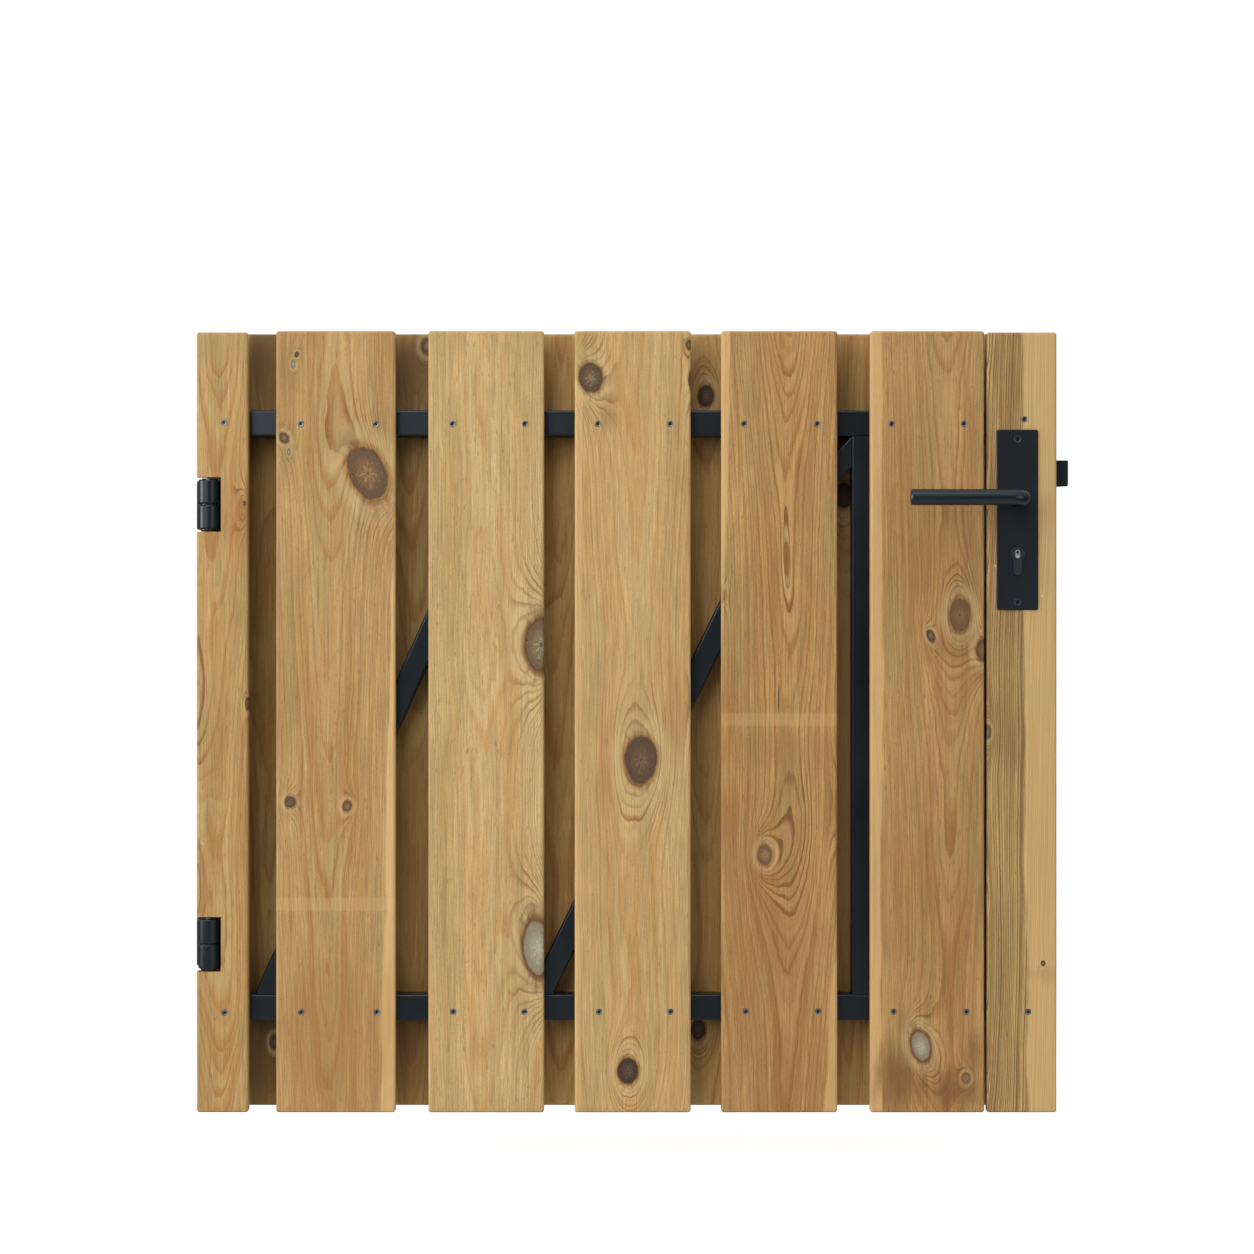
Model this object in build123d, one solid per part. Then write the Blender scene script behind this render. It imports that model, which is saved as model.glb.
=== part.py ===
from build123d import *
import os

# Millimetres, +Z up. The front of the door faces -Y and the hinges are on the left.
# Sizes are laid out from the left edge, the front face and the foot of the boards.
# place() then puts the origin on the outer face of the lower hinge's post plate.

# Boards, from the hinge side to the lock side
board_height = 900.0
board_thickness = 17.0
board_round = 3.0
front_widths = (59.2, 137.3, 133.2, 133.6, 133.6, 131.3, 80.5)
front_gaps = (32.2, 38.1, 35.4, 35.2, 38.0, 2.8)
edge_board_drop = 1.5
back_width = 134.0
back_rise = 1.0

# Screws that hold the boards: recesses for their heads, the screws left out
upper_screw_offset = -2.0
lower_screw_offset = -2.8
screw_recess_radius = 3.6
screw_recess_depth = 1.0
upper_screws = ((31.6,), (28.8, 115.2), (28.1, 111.5), (26.7, 110.0), (26.2, 110.4),
                (24.6, 107.7), (43.2,))
lower_screws = ((32.2,), (29.1, 116.1), (28.7, 110.8), (28.0, 110.4), (28.1, 111.5),
                (26.9, 110.7), (47.5,))
upper_screw_rises = (1.4, 0.0, 0.0, 0.0, 0.0, 0.0, 5.4)
lower_screw_rises = (-1.1, -0.4, 0.0, 0.0, 0.4, 0.0, 0.0)
back_screw_inset = 24.0

# Frame of square tube between the two layers of boards
tube_size = 30.0
tube_wall = 2.0
tube_round = 2.5
foot_margin = 104.0
top_margin = 90.0
lock_bay = 172.7

# Diagonal tubes. Each run is how far the tube leans from its foot to its head.
brace_width = 26.0
left_brace_foot_gap = 12.3
left_brace_run = 291.1
right_brace_head_gap = 30.1
right_brace_run = 315.2

# Hinges
lower_hinge_above_rail = 60.0
upper_hinge_below_rail = 79.4
knuckle_inset = 1.0
hinge_axis_y = 8.0
knuckle_radius = 11.75
knuckle_length = 28.0
knuckle_round = 2.0
knuckle_gap = 1.2
washer_radius = 9.5
washer_thickness = 1.0
cap_radius = 9.0
cap_height = 2.6
cap_round = 1.6
pin_radius = 5.0
pin_running_clearance = 0.05
pin_tip_radius = 2.8
pin_tip_length = 2.1
pin_tip_chamfer = 0.6
pin_foot_depth = 22.0
notch_room = 0.5
notch_side_room = 3.5
leaf_thickness = 3.0
leaf_offset = 6.25
leaf_end_margin = 2.0
leaf_back_margin = 2.0
flap_behind_knuckle = 0.8
flap_from_neck = 2.5
flap_top_inset = 2.5
flap_above_neck = 5.0
flap_end_room = 0.5
post_gap = 4.0
post_plate_behind_board = 14.0
post_plate_width = 38.0
post_plate_height = 56.0
post_plate_corner = 4.0
crank_behind_board = 3.0
post_screw_spacing = 36.0
post_screw_hole_radius = 3.25
post_screw_head_radius = 5.2

# Lock plates
plate_width = 47.7
plate_height = 207.6
plate_above_lever = 79.9
plate_thickness = 2.0
plate_corner = 3.0
plate_edge = 0.8
plate_screw_inset = 10.9
plate_screw_foot_inset = 9.2
plate_screw_seat_radius = 4.8
plate_screw_seat_depth = 0.8

# Levers
lever_backset = 43.0
lever_below_rail = 73.5
lever_radius = 9.25
lever_reach = 127.4
lever_standoff = 50.0
lever_bend = 10.5
lever_end_chamfer = 1.8
lever_running_clearance = 0.3
spindle_size = 8.0
spindle_grip = 24.0
spindle_room = 2.0

# Lock cylinder and its key plugs
cylinder_below_lever = 63.4
cylinder_round_radius = 8.5
cylinder_leg_width = 10.0
cylinder_height = 33.0
cylinder_proud = 1.2
cylinder_room = 0.3
board_hole_room = 3.0
plug_width = 5.4
plug_height = 9.6
plug_proud = 0.4
plug_depth = 3.0
keyway_radius = 1.4
keyway_width = 1.3
keyway_rise = 2.2
keyway_foot = 0.6
collar_radius = 6.2
collar_proud = 0.3

# Lock case between the boards, its faceplate and bolts
case_width = 83.0
case_depth = 20.0
case_wall = 1.5
case_headroom = 15.0
case_footroom = 17.0
case_room = 0.5
faceplate_width = 24.0
faceplate_thickness = 2.4
faceplate_overhang = 25.0
faceplate_corner = 2.0
faceplate_screw_inset = 10.0
faceplate_screw_seat_radius = 3.6
faceplate_screw_seat_depth = 1.0
latch_above_lever = 30.9
latch_height = 30.0
latch_depth = 12.0
latch_out = 16.8
latch_tail = 36.8
latch_corner = 2.0
latch_nose = 3.0
deadbolt_above_cylinder = 30.9
deadbolt_height = 24.0
deadbolt_depth = 12.0
deadbolt_length = 40.0
deadbolt_inset = 0.3
bolt_room = 0.4

# How far a cutting solid reaches past the faces it cuts
overshoot = 1.0

# Places that follow from the sizes above
front_count = len(front_widths)
front_lefts = [sum(front_widths[:n]) + sum(front_gaps[:n]) for n in range(front_count)]
door_width = front_lefts[-1] + front_widths[-1]
lower_screw_z = foot_margin + tube_size / 2 + lower_screw_offset
upper_screw_z = board_height - top_margin - tube_size / 2 + upper_screw_offset
frame_front = board_thickness
frame_back = frame_front + tube_size
frame_middle = (frame_front + frame_back) / 2
door_back = frame_back + board_thickness
frame_foot = foot_margin
frame_top = board_height - top_margin
rail_foot_inside = frame_foot + tube_size
rail_top_inside = frame_top - tube_size
hinge_axis_x = knuckle_inset + knuckle_radius
frame_left = hinge_axis_x + leaf_offset + leaf_thickness
frame_right = door_width - faceplate_thickness
hinge_stile_right = frame_left + tube_size
lock_stile_left = frame_right - tube_size
inner_stile_right = lock_stile_left - lock_bay
inner_stile_left = inner_stile_right - tube_size
hinge_heights = {"lower": rail_foot_inside + lower_hinge_above_rail,
                 "upper": rail_top_inside - upper_hinge_below_rail}
notch_depth = hinge_axis_x + knuckle_radius + notch_side_room
notch_above = knuckle_gap / 2 + knuckle_length + pin_tip_length + notch_room
notch_below = knuckle_gap / 2 + knuckle_length + cap_height + notch_room
post_plate_front = board_thickness + post_plate_behind_board
post_plate_back = post_plate_front + post_plate_width
post_plate_middle = (post_plate_front + post_plate_back) / 2
lever_x = frame_right - lever_backset
lever_z = rail_top_inside - lever_below_rail
latch_z = lever_z + latch_above_lever
cylinder_z = lever_z - cylinder_below_lever
cylinder_foot = cylinder_z + cylinder_round_radius - cylinder_height
deadbolt_z = cylinder_z + deadbolt_above_cylinder
case_front = frame_middle - case_depth / 2
case_back = frame_middle + case_depth / 2
case_left = frame_right - case_width
case_top = latch_z + latch_height / 2 + case_headroom + case_wall
case_foot = cylinder_foot - case_footroom - case_wall


def place(solid):
    return Location((post_gap, -post_plate_middle, -hinge_heights["lower"])) * solid


def block(x0, x1, y0, y1, z0, z1):
    box = Box(x1 - x0, y1 - y0, z1 - z0, align=(Align.MIN, Align.MIN, Align.MIN))
    return Location((x0, y0, z0)) * box


def rod_z(x, y, z0, z1, radius):
    rod = Cylinder(radius, z1 - z0, align=(Align.CENTER, Align.CENTER, Align.MIN))
    return Location((x, y, z0)) * rod


def rod_y(x, z, y0, y1, radius):
    rod = Cylinder(radius, y1 - y0, align=(Align.CENTER, Align.CENTER, Align.MIN))
    return Location((x, y0, z), (-90, 0, 0)) * rod


def through_y(points, y0, y1):
    """A straight-sided solid from an outline of x, z points, between two depths."""
    outline = make_face(Polyline(*[(x, y0, z) for x, z in points], close=True))
    return extrude(outline, amount=y1 - y0, dir=(0, 1, 0))


def board(left, width, foot, top, front):
    plank = block(left, left + width, front, front + board_thickness, foot, top)
    return fillet(plank.edges(), board_round)


def lever_hole(y0, y1, room):
    return rod_y(lever_x, lever_z, y0, y1, lever_radius + room)


def cylinder_profile(y0, y1, room):
    """The keyhole-shaped profile of the lock cylinder, between two depths."""
    leg_half = cylinder_leg_width / 2 + room
    leg_z = cylinder_foot + cylinder_leg_width / 2
    body = rod_y(lever_x, cylinder_z, y0, y1, cylinder_round_radius + room)
    body += block(lever_x - leg_half, lever_x + leg_half, y0, y1, leg_z, cylinder_z)
    return body + rod_y(lever_x, leg_z, y0, y1, leg_half)


def lock_holes(y0, y1):
    return lever_hole(y0, y1, board_hole_room) + cylinder_profile(y0, y1, board_hole_room / 2)


def screw_recesses(xs, z, y0, y1):
    return [rod_y(x, z, y0, y1, screw_recess_radius) for x in xs]


def front_board(index):
    left = front_lefts[index]
    at_edge = index in (0, front_count - 1)
    top = board_height - (edge_board_drop if at_edge else 0)
    plank = board(left, front_widths[index], 0, top, 0)
    upper = [left + offset for offset in upper_screws[index]]
    lower = [left + offset for offset in lower_screws[index]]
    if index == 0:
        for z in hinge_heights.values():
            plank -= block(left - overshoot, notch_depth, -overshoot, board_thickness + overshoot,
                           z - notch_below, z + notch_above)
    if index == front_count - 1:
        plank -= lock_holes(-overshoot, board_thickness + overshoot)
    upper_z = upper_screw_z + upper_screw_rises[index]
    lower_z = lower_screw_z + lower_screw_rises[index]
    plank -= screw_recesses(upper, upper_z, -overshoot, screw_recess_depth)
    return plank - screw_recesses(lower, lower_z, -overshoot, screw_recess_depth)


def back_board(index):
    """Each back board covers one front gap; the last one ends at the lock edge."""
    at_lock = index == len(front_gaps) - 1
    middle = front_lefts[index + 1] - front_gaps[index] / 2
    left = door_width - back_width if at_lock else middle - back_width / 2
    plank = board(left, back_width, back_rise, back_rise + board_height, frame_back)
    if at_lock:
        plank -= lock_holes(frame_back - overshoot, door_back + overshoot)
    screws = (left + back_screw_inset, left + back_width - back_screw_inset)
    floor = door_back - screw_recess_depth
    plank -= screw_recesses(screws, upper_screw_z, floor, door_back + overshoot)
    return plank - screw_recesses(screws, lower_screw_z, floor, door_back + overshoot)


def hollow(outer_points, inner_points, direction):
    """A square tube with rounded corners along its direction and open mitred ends."""
    tube = through_y(outer_points, frame_front, frame_back)
    corners = tube.edges().filter_by(Axis((0, 0, 0), direction))
    tube = fillet(corners, tube_round)
    return tube - through_y(inner_points, frame_front + tube_wall, frame_back - tube_wall)


def rail(outer_z, inner_z):
    """A level frame tube, given the heights of its outer and inner sides."""
    step = tube_wall if inner_z > outer_z else -tube_wall
    outer = ((frame_left, outer_z), (frame_right, outer_z),
             (lock_stile_left, inner_z), (hinge_stile_right, inner_z))
    inner = ((frame_left, outer_z + step), (frame_right, outer_z + step),
             (frame_right, inner_z - step), (frame_left, inner_z - step))
    return hollow(outer, inner, (1, 0, 0))


def outer_stile(outer_x, inner_x):
    """An upright frame tube, given the places of its outer and inner sides."""
    step = tube_wall if inner_x > outer_x else -tube_wall
    outer = ((outer_x, frame_foot), (inner_x, rail_foot_inside),
             (inner_x, rail_top_inside), (outer_x, frame_top))
    inner = ((outer_x + step, frame_foot), (inner_x - step, frame_foot),
             (inner_x - step, frame_top), (outer_x + step, frame_top))
    return hollow(outer, inner, (0, 0, 1))


def lock_stile():
    """The lock case passes through a slot in this stile."""
    slot = block(lock_stile_left - overshoot, frame_right + overshoot, case_front - case_room,
                 case_back + case_room, case_foot - case_room, case_top + case_room)
    return outer_stile(frame_right, lock_stile_left) - slot


def inner_stile():
    def outline(left, right):
        foot, top = rail_foot_inside, rail_top_inside
        return ((left, foot), (right, foot), (right, top), (left, top))

    outer = outline(inner_stile_left, inner_stile_right)
    inner = outline(inner_stile_left + tube_wall, inner_stile_right - tube_wall)
    return hollow(outer, inner, (0, 0, 1))


def brace_slope(run):
    return (rail_top_inside - rail_foot_inside) / run


def brace_spread(run):
    """How wide a leaning tube is where it stands on the rail, per unit of its width."""
    return (1 + 1 / brace_slope(run) ** 2) ** 0.5


def right_brace_foot():
    head_right = inner_stile_left - right_brace_head_gap
    return head_right - brace_width * brace_spread(right_brace_run) - right_brace_run


def long_brace(foot_x, run):
    slope = brace_slope(run)

    def outline(first, second, foot, top):
        left = foot_x + first * brace_spread(run)
        right = foot_x + second * brace_spread(run)
        foot_lean = (foot - rail_foot_inside) / slope
        top_lean = (top - rail_foot_inside) / slope
        return ((left + foot_lean, foot), (right + foot_lean, foot),
                (right + top_lean, top), (left + top_lean, top))

    outer = outline(0, brace_width, rail_foot_inside, rail_top_inside)
    inner = outline(tube_wall, brace_width - tube_wall, frame_foot, frame_top)
    return hollow(outer, inner, (1, 0, slope))


def corner_brace():
    """Runs at 45 degrees from the upper inner corner down to the right brace."""
    slope = brace_slope(right_brace_run)
    foot_x = right_brace_foot() + brace_width * brace_spread(right_brace_run)

    def meeting(drop, past):
        """Where an edge that starts drop below the corner reaches the right brace."""
        rise = rail_top_inside - drop - inner_stile_left
        x = (rise - rail_foot_inside + slope * foot_x) / (slope - 1) - past
        return x, x + rise

    height = brace_width * 2 ** 0.5
    wall = tube_wall * 2 ** 0.5
    past = tube_size
    outer = ((inner_stile_left, rail_top_inside), (inner_stile_left, rail_top_inside - height),
             meeting(height, 0), meeting(0, 0))
    inner = ((inner_stile_left + past, rail_top_inside - wall + past),
             (inner_stile_left + past, rail_top_inside - height + wall + past),
             meeting(height - wall, past), meeting(wall, past))
    return hollow(outer, inner, (1, 0, 1))


def knuckle(foot):
    barrel = rod_z(hinge_axis_x, hinge_axis_y, foot, foot + knuckle_length, knuckle_radius)
    return fillet(barrel.edges().filter_by(GeomType.CIRCLE), knuckle_round)


def hinge_door_half(z):
    """The upper knuckle, its leaf on the hinge stile and a flap that closes the notch behind."""
    foot = z + knuckle_gap / 2
    leaf_left = frame_left - leaf_thickness
    leaf_back = frame_back - leaf_back_margin
    flap_front = hinge_axis_y + knuckle_radius + flap_behind_knuckle
    flap_foot = z - notch_below + flap_end_room
    flap_top = z + notch_above - flap_end_room
    half = knuckle(foot)
    half += block(leaf_left, frame_left, hinge_axis_y, leaf_back, foot + leaf_end_margin,
                  foot + knuckle_length - leaf_end_margin)
    half += block(leaf_left, frame_left, flap_front, leaf_back, flap_foot, flap_top)
    flap_back = flap_front + leaf_thickness
    half += block(knuckle_inset + leaf_thickness + flap_from_neck, frame_left, flap_front,
                  flap_back, flap_foot, flap_top)
    half += block(knuckle_inset + flap_top_inset, frame_left, flap_front, flap_back,
                  foot - leaf_end_margin + flap_above_neck, flap_top)
    bore = pin_radius + pin_running_clearance
    return half - rod_z(hinge_axis_x, hinge_axis_y, foot - overshoot,
                        foot + knuckle_length + overshoot, bore)


def post_leaf(z, neck_foot):
    """A cranked leaf: from the knuckle's side back and out to the screw plate."""
    inner_x = hinge_axis_x - knuckle_radius
    crank_y = board_thickness + crank_behind_board
    outline = Polyline(
        (inner_x, hinge_axis_y), (inner_x, crank_y), (-post_gap, post_plate_front),
        (leaf_thickness - post_gap, post_plate_front), (inner_x + leaf_thickness, crank_y),
        (inner_x + leaf_thickness, hinge_axis_y), close=True)
    neck = extrude(make_face(outline), amount=knuckle_length - 2 * leaf_end_margin, dir=(0, 0, 1))
    plate = block(-post_gap, leaf_thickness - post_gap, post_plate_front, post_plate_back,
                  z - post_plate_height / 2, z + post_plate_height / 2)
    plate = fillet(plate.edges().filter_by(Axis.X), post_plate_corner)
    leaf = Location((0, 0, neck_foot)) * neck + plate
    for side in (-1, 1):
        at = Location((leaf_thickness - post_gap, post_plate_middle,
                       z + side * post_screw_spacing / 2), (0, 90, 0))
        leaf -= at * CounterSinkHole(post_screw_hole_radius, post_screw_head_radius,
                                     depth=2 * leaf_thickness)
    return leaf


def hinge_post_half(z):
    """The lower knuckle with its closed cap, which holds the pin, and its cranked leaf."""
    top = z - knuckle_gap / 2
    foot = top - knuckle_length
    cap = rod_z(hinge_axis_x, hinge_axis_y, foot - cap_height, foot, cap_radius)
    cap = fillet(cap.edges().group_by(Axis.Z)[0], cap_round)
    half = knuckle(foot) + cap + post_leaf(z, foot + leaf_end_margin)
    return half - rod_z(hinge_axis_x, hinge_axis_y, top - pin_foot_depth, top + overshoot, pin_radius)


def hinge_pin(z):
    foot = z - knuckle_gap / 2 - pin_foot_depth
    top = z + knuckle_gap / 2 + knuckle_length
    tip = rod_z(hinge_axis_x, hinge_axis_y, top, top + pin_tip_length, pin_tip_radius)
    tip = chamfer(tip.edges().group_by(Axis.Z)[-1], pin_tip_chamfer)
    return rod_z(hinge_axis_x, hinge_axis_y, foot, top, pin_radius) + tip


def hinge_washer(z):
    foot = z - knuckle_gap / 2
    ring = rod_z(hinge_axis_x, hinge_axis_y, foot, foot + washer_thickness, washer_radius)
    bore_foot = foot - overshoot
    return ring - rod_z(hinge_axis_x, hinge_axis_y, bore_foot, foot + knuckle_gap, pin_radius)


def between(y, outward, length):
    """The two depths of something that goes outward from y, nearest first."""
    return min(y, y + outward * length), max(y, y + outward * length)


def lock_plate(board_y, outward):
    """A long plate on one side of the door, its outer edges eased."""
    y0, y1 = between(board_y, outward, plate_thickness)
    left = lever_x - plate_width / 2
    top = lever_z + plate_above_lever
    plate = block(left, left + plate_width, y0, y1, top - plate_height, top)
    plate = fillet(plate.edges().filter_by(Axis.Y), plate_corner)
    outer = plate.faces().sort_by(Axis.Y)[0 if outward < 0 else -1]
    plate = fillet(outer.edges(), plate_edge)
    plate -= lever_hole(y0 - overshoot, y1 + overshoot, lever_running_clearance)
    seat_floor = board_y + outward * (plate_thickness - plate_screw_seat_depth)
    seat_y0, seat_y1 = between(seat_floor, outward, plate_thickness)
    for z in (top - plate_screw_inset, top - plate_height + plate_screw_foot_inset):
        plate -= rod_y(lever_x, z, seat_y0, seat_y1, plate_screw_seat_radius)
    return plate - cylinder_profile(y0 - overshoot, y1 + overshoot, cylinder_room)


def square_spindle(y0, y1):
    half = spindle_size / 2
    return block(lever_x - half, lever_x + half, y0, y1, lever_z - half, lever_z + half)


def lever(board_y, outward):
    """A round lever: the neck runs in the lock plate and bends into a level bar."""
    bar_y = board_y + outward * (plate_thickness + lever_standoff)
    path = FilletPolyline((lever_x, board_y, lever_z), (lever_x, bar_y, lever_z),
                          (lever_x - lever_reach, bar_y, lever_z), radius=lever_bend)
    neck = Plane(origin=(lever_x, board_y, lever_z), z_dir=(0, outward, 0))
    bar = sweep(neck * Circle(lever_radius), path=path)
    end = bar.faces().sort_by(Axis.X)[0]
    bar = chamfer(end.edges(), lever_end_chamfer)
    return bar - square_spindle(*between(board_y, outward, spindle_grip))


def lever_spindle():
    return square_spindle(-spindle_grip, door_back + spindle_grip)


def plug_outline(y0, y1):
    """A slot-shaped plug, round at its top and foot."""
    half = plug_width / 2
    rise = plug_height / 2 - half
    body = block(lever_x - half, lever_x + half, y0, y1, cylinder_z - rise, cylinder_z + rise)
    for side in (-1, 1):
        body += rod_y(lever_x, cylinder_z + side * rise, y0, y1, half)
    return body


def cylinder_faces():
    """Each face of the lock cylinder: its depth and the way it faces."""
    proud = plate_thickness + cylinder_proud
    return ((-proud, -1), (door_back + proud, 1))


def lock_cylinder():
    (front, _), (back, _) = cylinder_faces()
    body = cylinder_profile(front, back, 0)
    body += rod_y(lever_x, cylinder_z, front - collar_proud, back + collar_proud, collar_radius)
    body -= plug_outline(front - overshoot, front + plug_depth)
    return body - plug_outline(back - plug_depth, back + overshoot)


def key_plug(face_y, outward):
    inner_y = face_y - outward * plug_depth
    plug = plug_outline(*between(inner_y, outward, plug_depth + plug_proud))
    y0, y1 = between(inner_y + outward * plug_depth / 2, outward, plug_depth)
    half_width = keyway_width / 2
    eye_z = cylinder_z + keyway_rise
    plug -= rod_y(lever_x, eye_z, y0, y1, keyway_radius)
    return plug - block(lever_x - half_width, lever_x + half_width, y0, y1,
                        cylinder_z - keyway_foot, eye_z)


def bolt_windows(x0, x1):
    windows = []
    for z, height, depth in ((latch_z, latch_height, latch_depth),
                             (deadbolt_z, deadbolt_height, deadbolt_depth)):
        half_depth = depth / 2 + bolt_room
        half_height = height / 2 + bolt_room
        windows.append(block(x0, x1, frame_middle - half_depth, frame_middle + half_depth,
                             z - half_height, z + half_height))
    return windows


def lock_case():
    shell = block(case_left, frame_right, case_front, case_back, case_foot, case_top)
    shell -= block(case_left + case_wall, frame_right - case_wall, case_front + case_wall,
                   case_back - case_wall, case_foot + case_wall, case_top - case_wall)
    spindle_turn = spindle_size / 2 ** 0.5 + spindle_room
    front, back = case_front - overshoot, case_back + overshoot
    shell -= rod_y(lever_x, lever_z, front, back, spindle_turn)
    shell -= cylinder_profile(front, back, cylinder_room)
    return shell - bolt_windows(frame_right - 2 * case_wall, frame_right + overshoot)


def lock_faceplate():
    plate = block(frame_right, door_width, frame_middle - faceplate_width / 2,
                  frame_middle + faceplate_width / 2, case_foot - faceplate_overhang,
                  case_top + faceplate_overhang)
    plate = fillet(plate.edges().filter_by(Axis.X), faceplate_corner)
    seat_floor = door_width - faceplate_screw_seat_depth
    for z in (case_foot - faceplate_overhang + faceplate_screw_inset,
              case_top + faceplate_overhang - faceplate_screw_inset):
        seat = Cylinder(faceplate_screw_seat_radius, faceplate_thickness, rotation=(0, 90, 0))
        plate -= Location((seat_floor + faceplate_thickness / 2, frame_middle, z)) * seat
    return plate - bolt_windows(frame_right - overshoot, door_width + overshoot)


def latch_bolt():
    """Flat towards the front; the bevel at the back rides over the strike."""
    tip = door_width + latch_out
    tail = door_width - latch_tail
    front = frame_middle - latch_depth / 2
    back = frame_middle + latch_depth / 2
    bevel = latch_depth - latch_nose
    outline = Polyline((tail, front), (tip, front), (tip, front + latch_nose),
                       (tip - bevel, back), (tail, back), close=True)
    bolt = extrude(make_face(outline), amount=latch_height, dir=(0, 0, 1))
    bolt = Location((0, 0, latch_z - latch_height / 2)) * bolt
    return fillet(bolt.edges().filter_by(Axis.Y).group_by(Axis.X)[-1], latch_corner)


def deadbolt():
    face = door_width - deadbolt_inset
    return block(face - deadbolt_length, face, frame_middle - deadbolt_depth / 2,
                 frame_middle + deadbolt_depth / 2, deadbolt_z - deadbolt_height / 2,
                 deadbolt_z + deadbolt_height / 2)


def all_parts():
    parts = {}
    for index in range(front_count):
        parts[f"front_board_{index + 1}"] = front_board(index)
    for index in range(len(front_gaps)):
        parts[f"back_board_{index + 1}"] = back_board(index)
    parts["top_rail"] = rail(frame_top, rail_top_inside)
    parts["bottom_rail"] = rail(frame_foot, rail_foot_inside)
    parts["hinge_stile"] = outer_stile(frame_left, hinge_stile_right)
    parts["lock_stile"] = lock_stile()
    parts["inner_stile"] = inner_stile()
    parts["long_brace_left"] = long_brace(hinge_stile_right + left_brace_foot_gap, left_brace_run)
    parts["long_brace_right"] = long_brace(right_brace_foot(), right_brace_run)
    parts["corner_brace"] = corner_brace()
    for name, z in hinge_heights.items():
        parts[f"{name}_hinge_door_half"] = hinge_door_half(z)
        parts[f"{name}_hinge_post_half"] = hinge_post_half(z)
        parts[f"{name}_hinge_pin"] = hinge_pin(z)
        parts[f"{name}_hinge_washer"] = hinge_washer(z)
    parts["front_lock_plate"] = lock_plate(0, -1)
    parts["back_lock_plate"] = lock_plate(door_back, 1)
    parts["front_lever"] = lever(0, -1)
    parts["back_lever"] = lever(door_back, 1)
    parts["lever_spindle"] = lever_spindle()
    parts["lock_cylinder"] = lock_cylinder()
    front_face, back_face = cylinder_faces()
    parts["front_key_plug"] = key_plug(*front_face)
    parts["back_key_plug"] = key_plug(*back_face)
    parts["lock_case"] = lock_case()
    parts["lock_faceplate"] = lock_faceplate()
    parts["latch_bolt"] = latch_bolt()
    parts["deadbolt"] = deadbolt()
    return parts


os.makedirs("parts", exist_ok=True)
for name, solid in all_parts().items():
    export_step(place(solid), f"parts/{name}.step")
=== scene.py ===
"""Looks for the steel-framed garden door: pine boards, powder-coated tube and black fittings."""

import functools
import math
import random

import bmesh
import bpy
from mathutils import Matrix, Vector


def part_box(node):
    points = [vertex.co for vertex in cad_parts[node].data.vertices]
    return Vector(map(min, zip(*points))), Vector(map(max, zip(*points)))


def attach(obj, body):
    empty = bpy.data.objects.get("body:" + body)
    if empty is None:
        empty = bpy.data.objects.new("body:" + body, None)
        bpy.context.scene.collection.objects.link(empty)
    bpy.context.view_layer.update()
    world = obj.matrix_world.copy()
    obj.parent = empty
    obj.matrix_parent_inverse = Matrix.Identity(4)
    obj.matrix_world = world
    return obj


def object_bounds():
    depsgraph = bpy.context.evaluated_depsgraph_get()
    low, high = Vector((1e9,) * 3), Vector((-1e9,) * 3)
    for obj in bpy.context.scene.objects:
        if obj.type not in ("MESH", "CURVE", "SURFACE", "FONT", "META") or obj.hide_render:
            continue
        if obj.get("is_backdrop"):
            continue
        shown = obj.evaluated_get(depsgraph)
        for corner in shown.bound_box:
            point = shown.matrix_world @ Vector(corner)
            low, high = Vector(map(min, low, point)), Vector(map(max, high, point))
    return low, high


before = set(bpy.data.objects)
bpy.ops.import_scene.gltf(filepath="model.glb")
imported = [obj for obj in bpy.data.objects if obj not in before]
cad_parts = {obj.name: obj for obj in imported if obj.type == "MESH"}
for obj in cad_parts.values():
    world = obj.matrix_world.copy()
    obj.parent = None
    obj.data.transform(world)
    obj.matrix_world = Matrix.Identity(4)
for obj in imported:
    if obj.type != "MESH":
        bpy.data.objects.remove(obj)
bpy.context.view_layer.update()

bl_info = {
    "name": "Garden Door Finish",
    "version": (1, 0, 0),
    "blender": (4, 5, 0),
    "location": "3D View > Sidebar > Garden Door",
    "description": "Gives the garden door its pine, powder coat and small fittings",
    "category": "Object",
}

MM = 0.001
BOARD_HEIGHT = 900
DOOR_BODY = "door_leaf"
SMOOTH = {"interpolation_type": "SMOOTHSTEP"}
COLOURS = {"data_type": "RGBA"}


def linear(hex_colour):
    """Turns an sRGB hex value such as "C6A670" into linear red, green, blue and alpha."""
    channels = [int(hex_colour[i:i + 2], 16) / 255 for i in (0, 2, 4)]
    return [c / 12.92 if c <= 0.04045 else ((c + 0.055) / 1.055) ** 2.4 for c in channels] + [1.0]


def put(tree, kind, inputs=(), **settings):
    """Adds a node with its settings and inputs, and returns its outputs.

    The kind leaves out "ShaderNode". Inputs are values or links, by name or counted from the first.
    """
    node = tree.nodes.new(kind if kind.startswith("Node") else "ShaderNode" + kind)
    for name, value in settings.items():
        setattr(node, name, value)
    for name, value in inputs.items() if isinstance(inputs, dict) else enumerate(inputs):
        if isinstance(value, bpy.types.NodeSocket):
            tree.links.new(value, node.inputs[name])
        else:
            node.inputs[name].default_value = value
    return node.outputs


def span(value, low, high, first=0.0, last=1.0):
    """What a range node takes in to turn low to high into first to last."""
    return {"Value": value, "From Min": low, "From Max": high, "To Min": first, "To Max": last}


def new_group(name, inputs, outputs):
    """Starts a node group, its sockets named under Float, Vector or Color."""
    tree = bpy.data.node_groups.new(name, "ShaderNodeTree")
    for in_out, sockets in (("INPUT", inputs), ("OUTPUT", outputs)):
        for kind, labels in sockets.items():
            for label in labels:
                tree.interface.new_socket(label, in_out=in_out, socket_type="NodeSocket" + kind)
    add = functools.partial(put, tree)
    return tree, add, add("NodeGroupInput")


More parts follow.
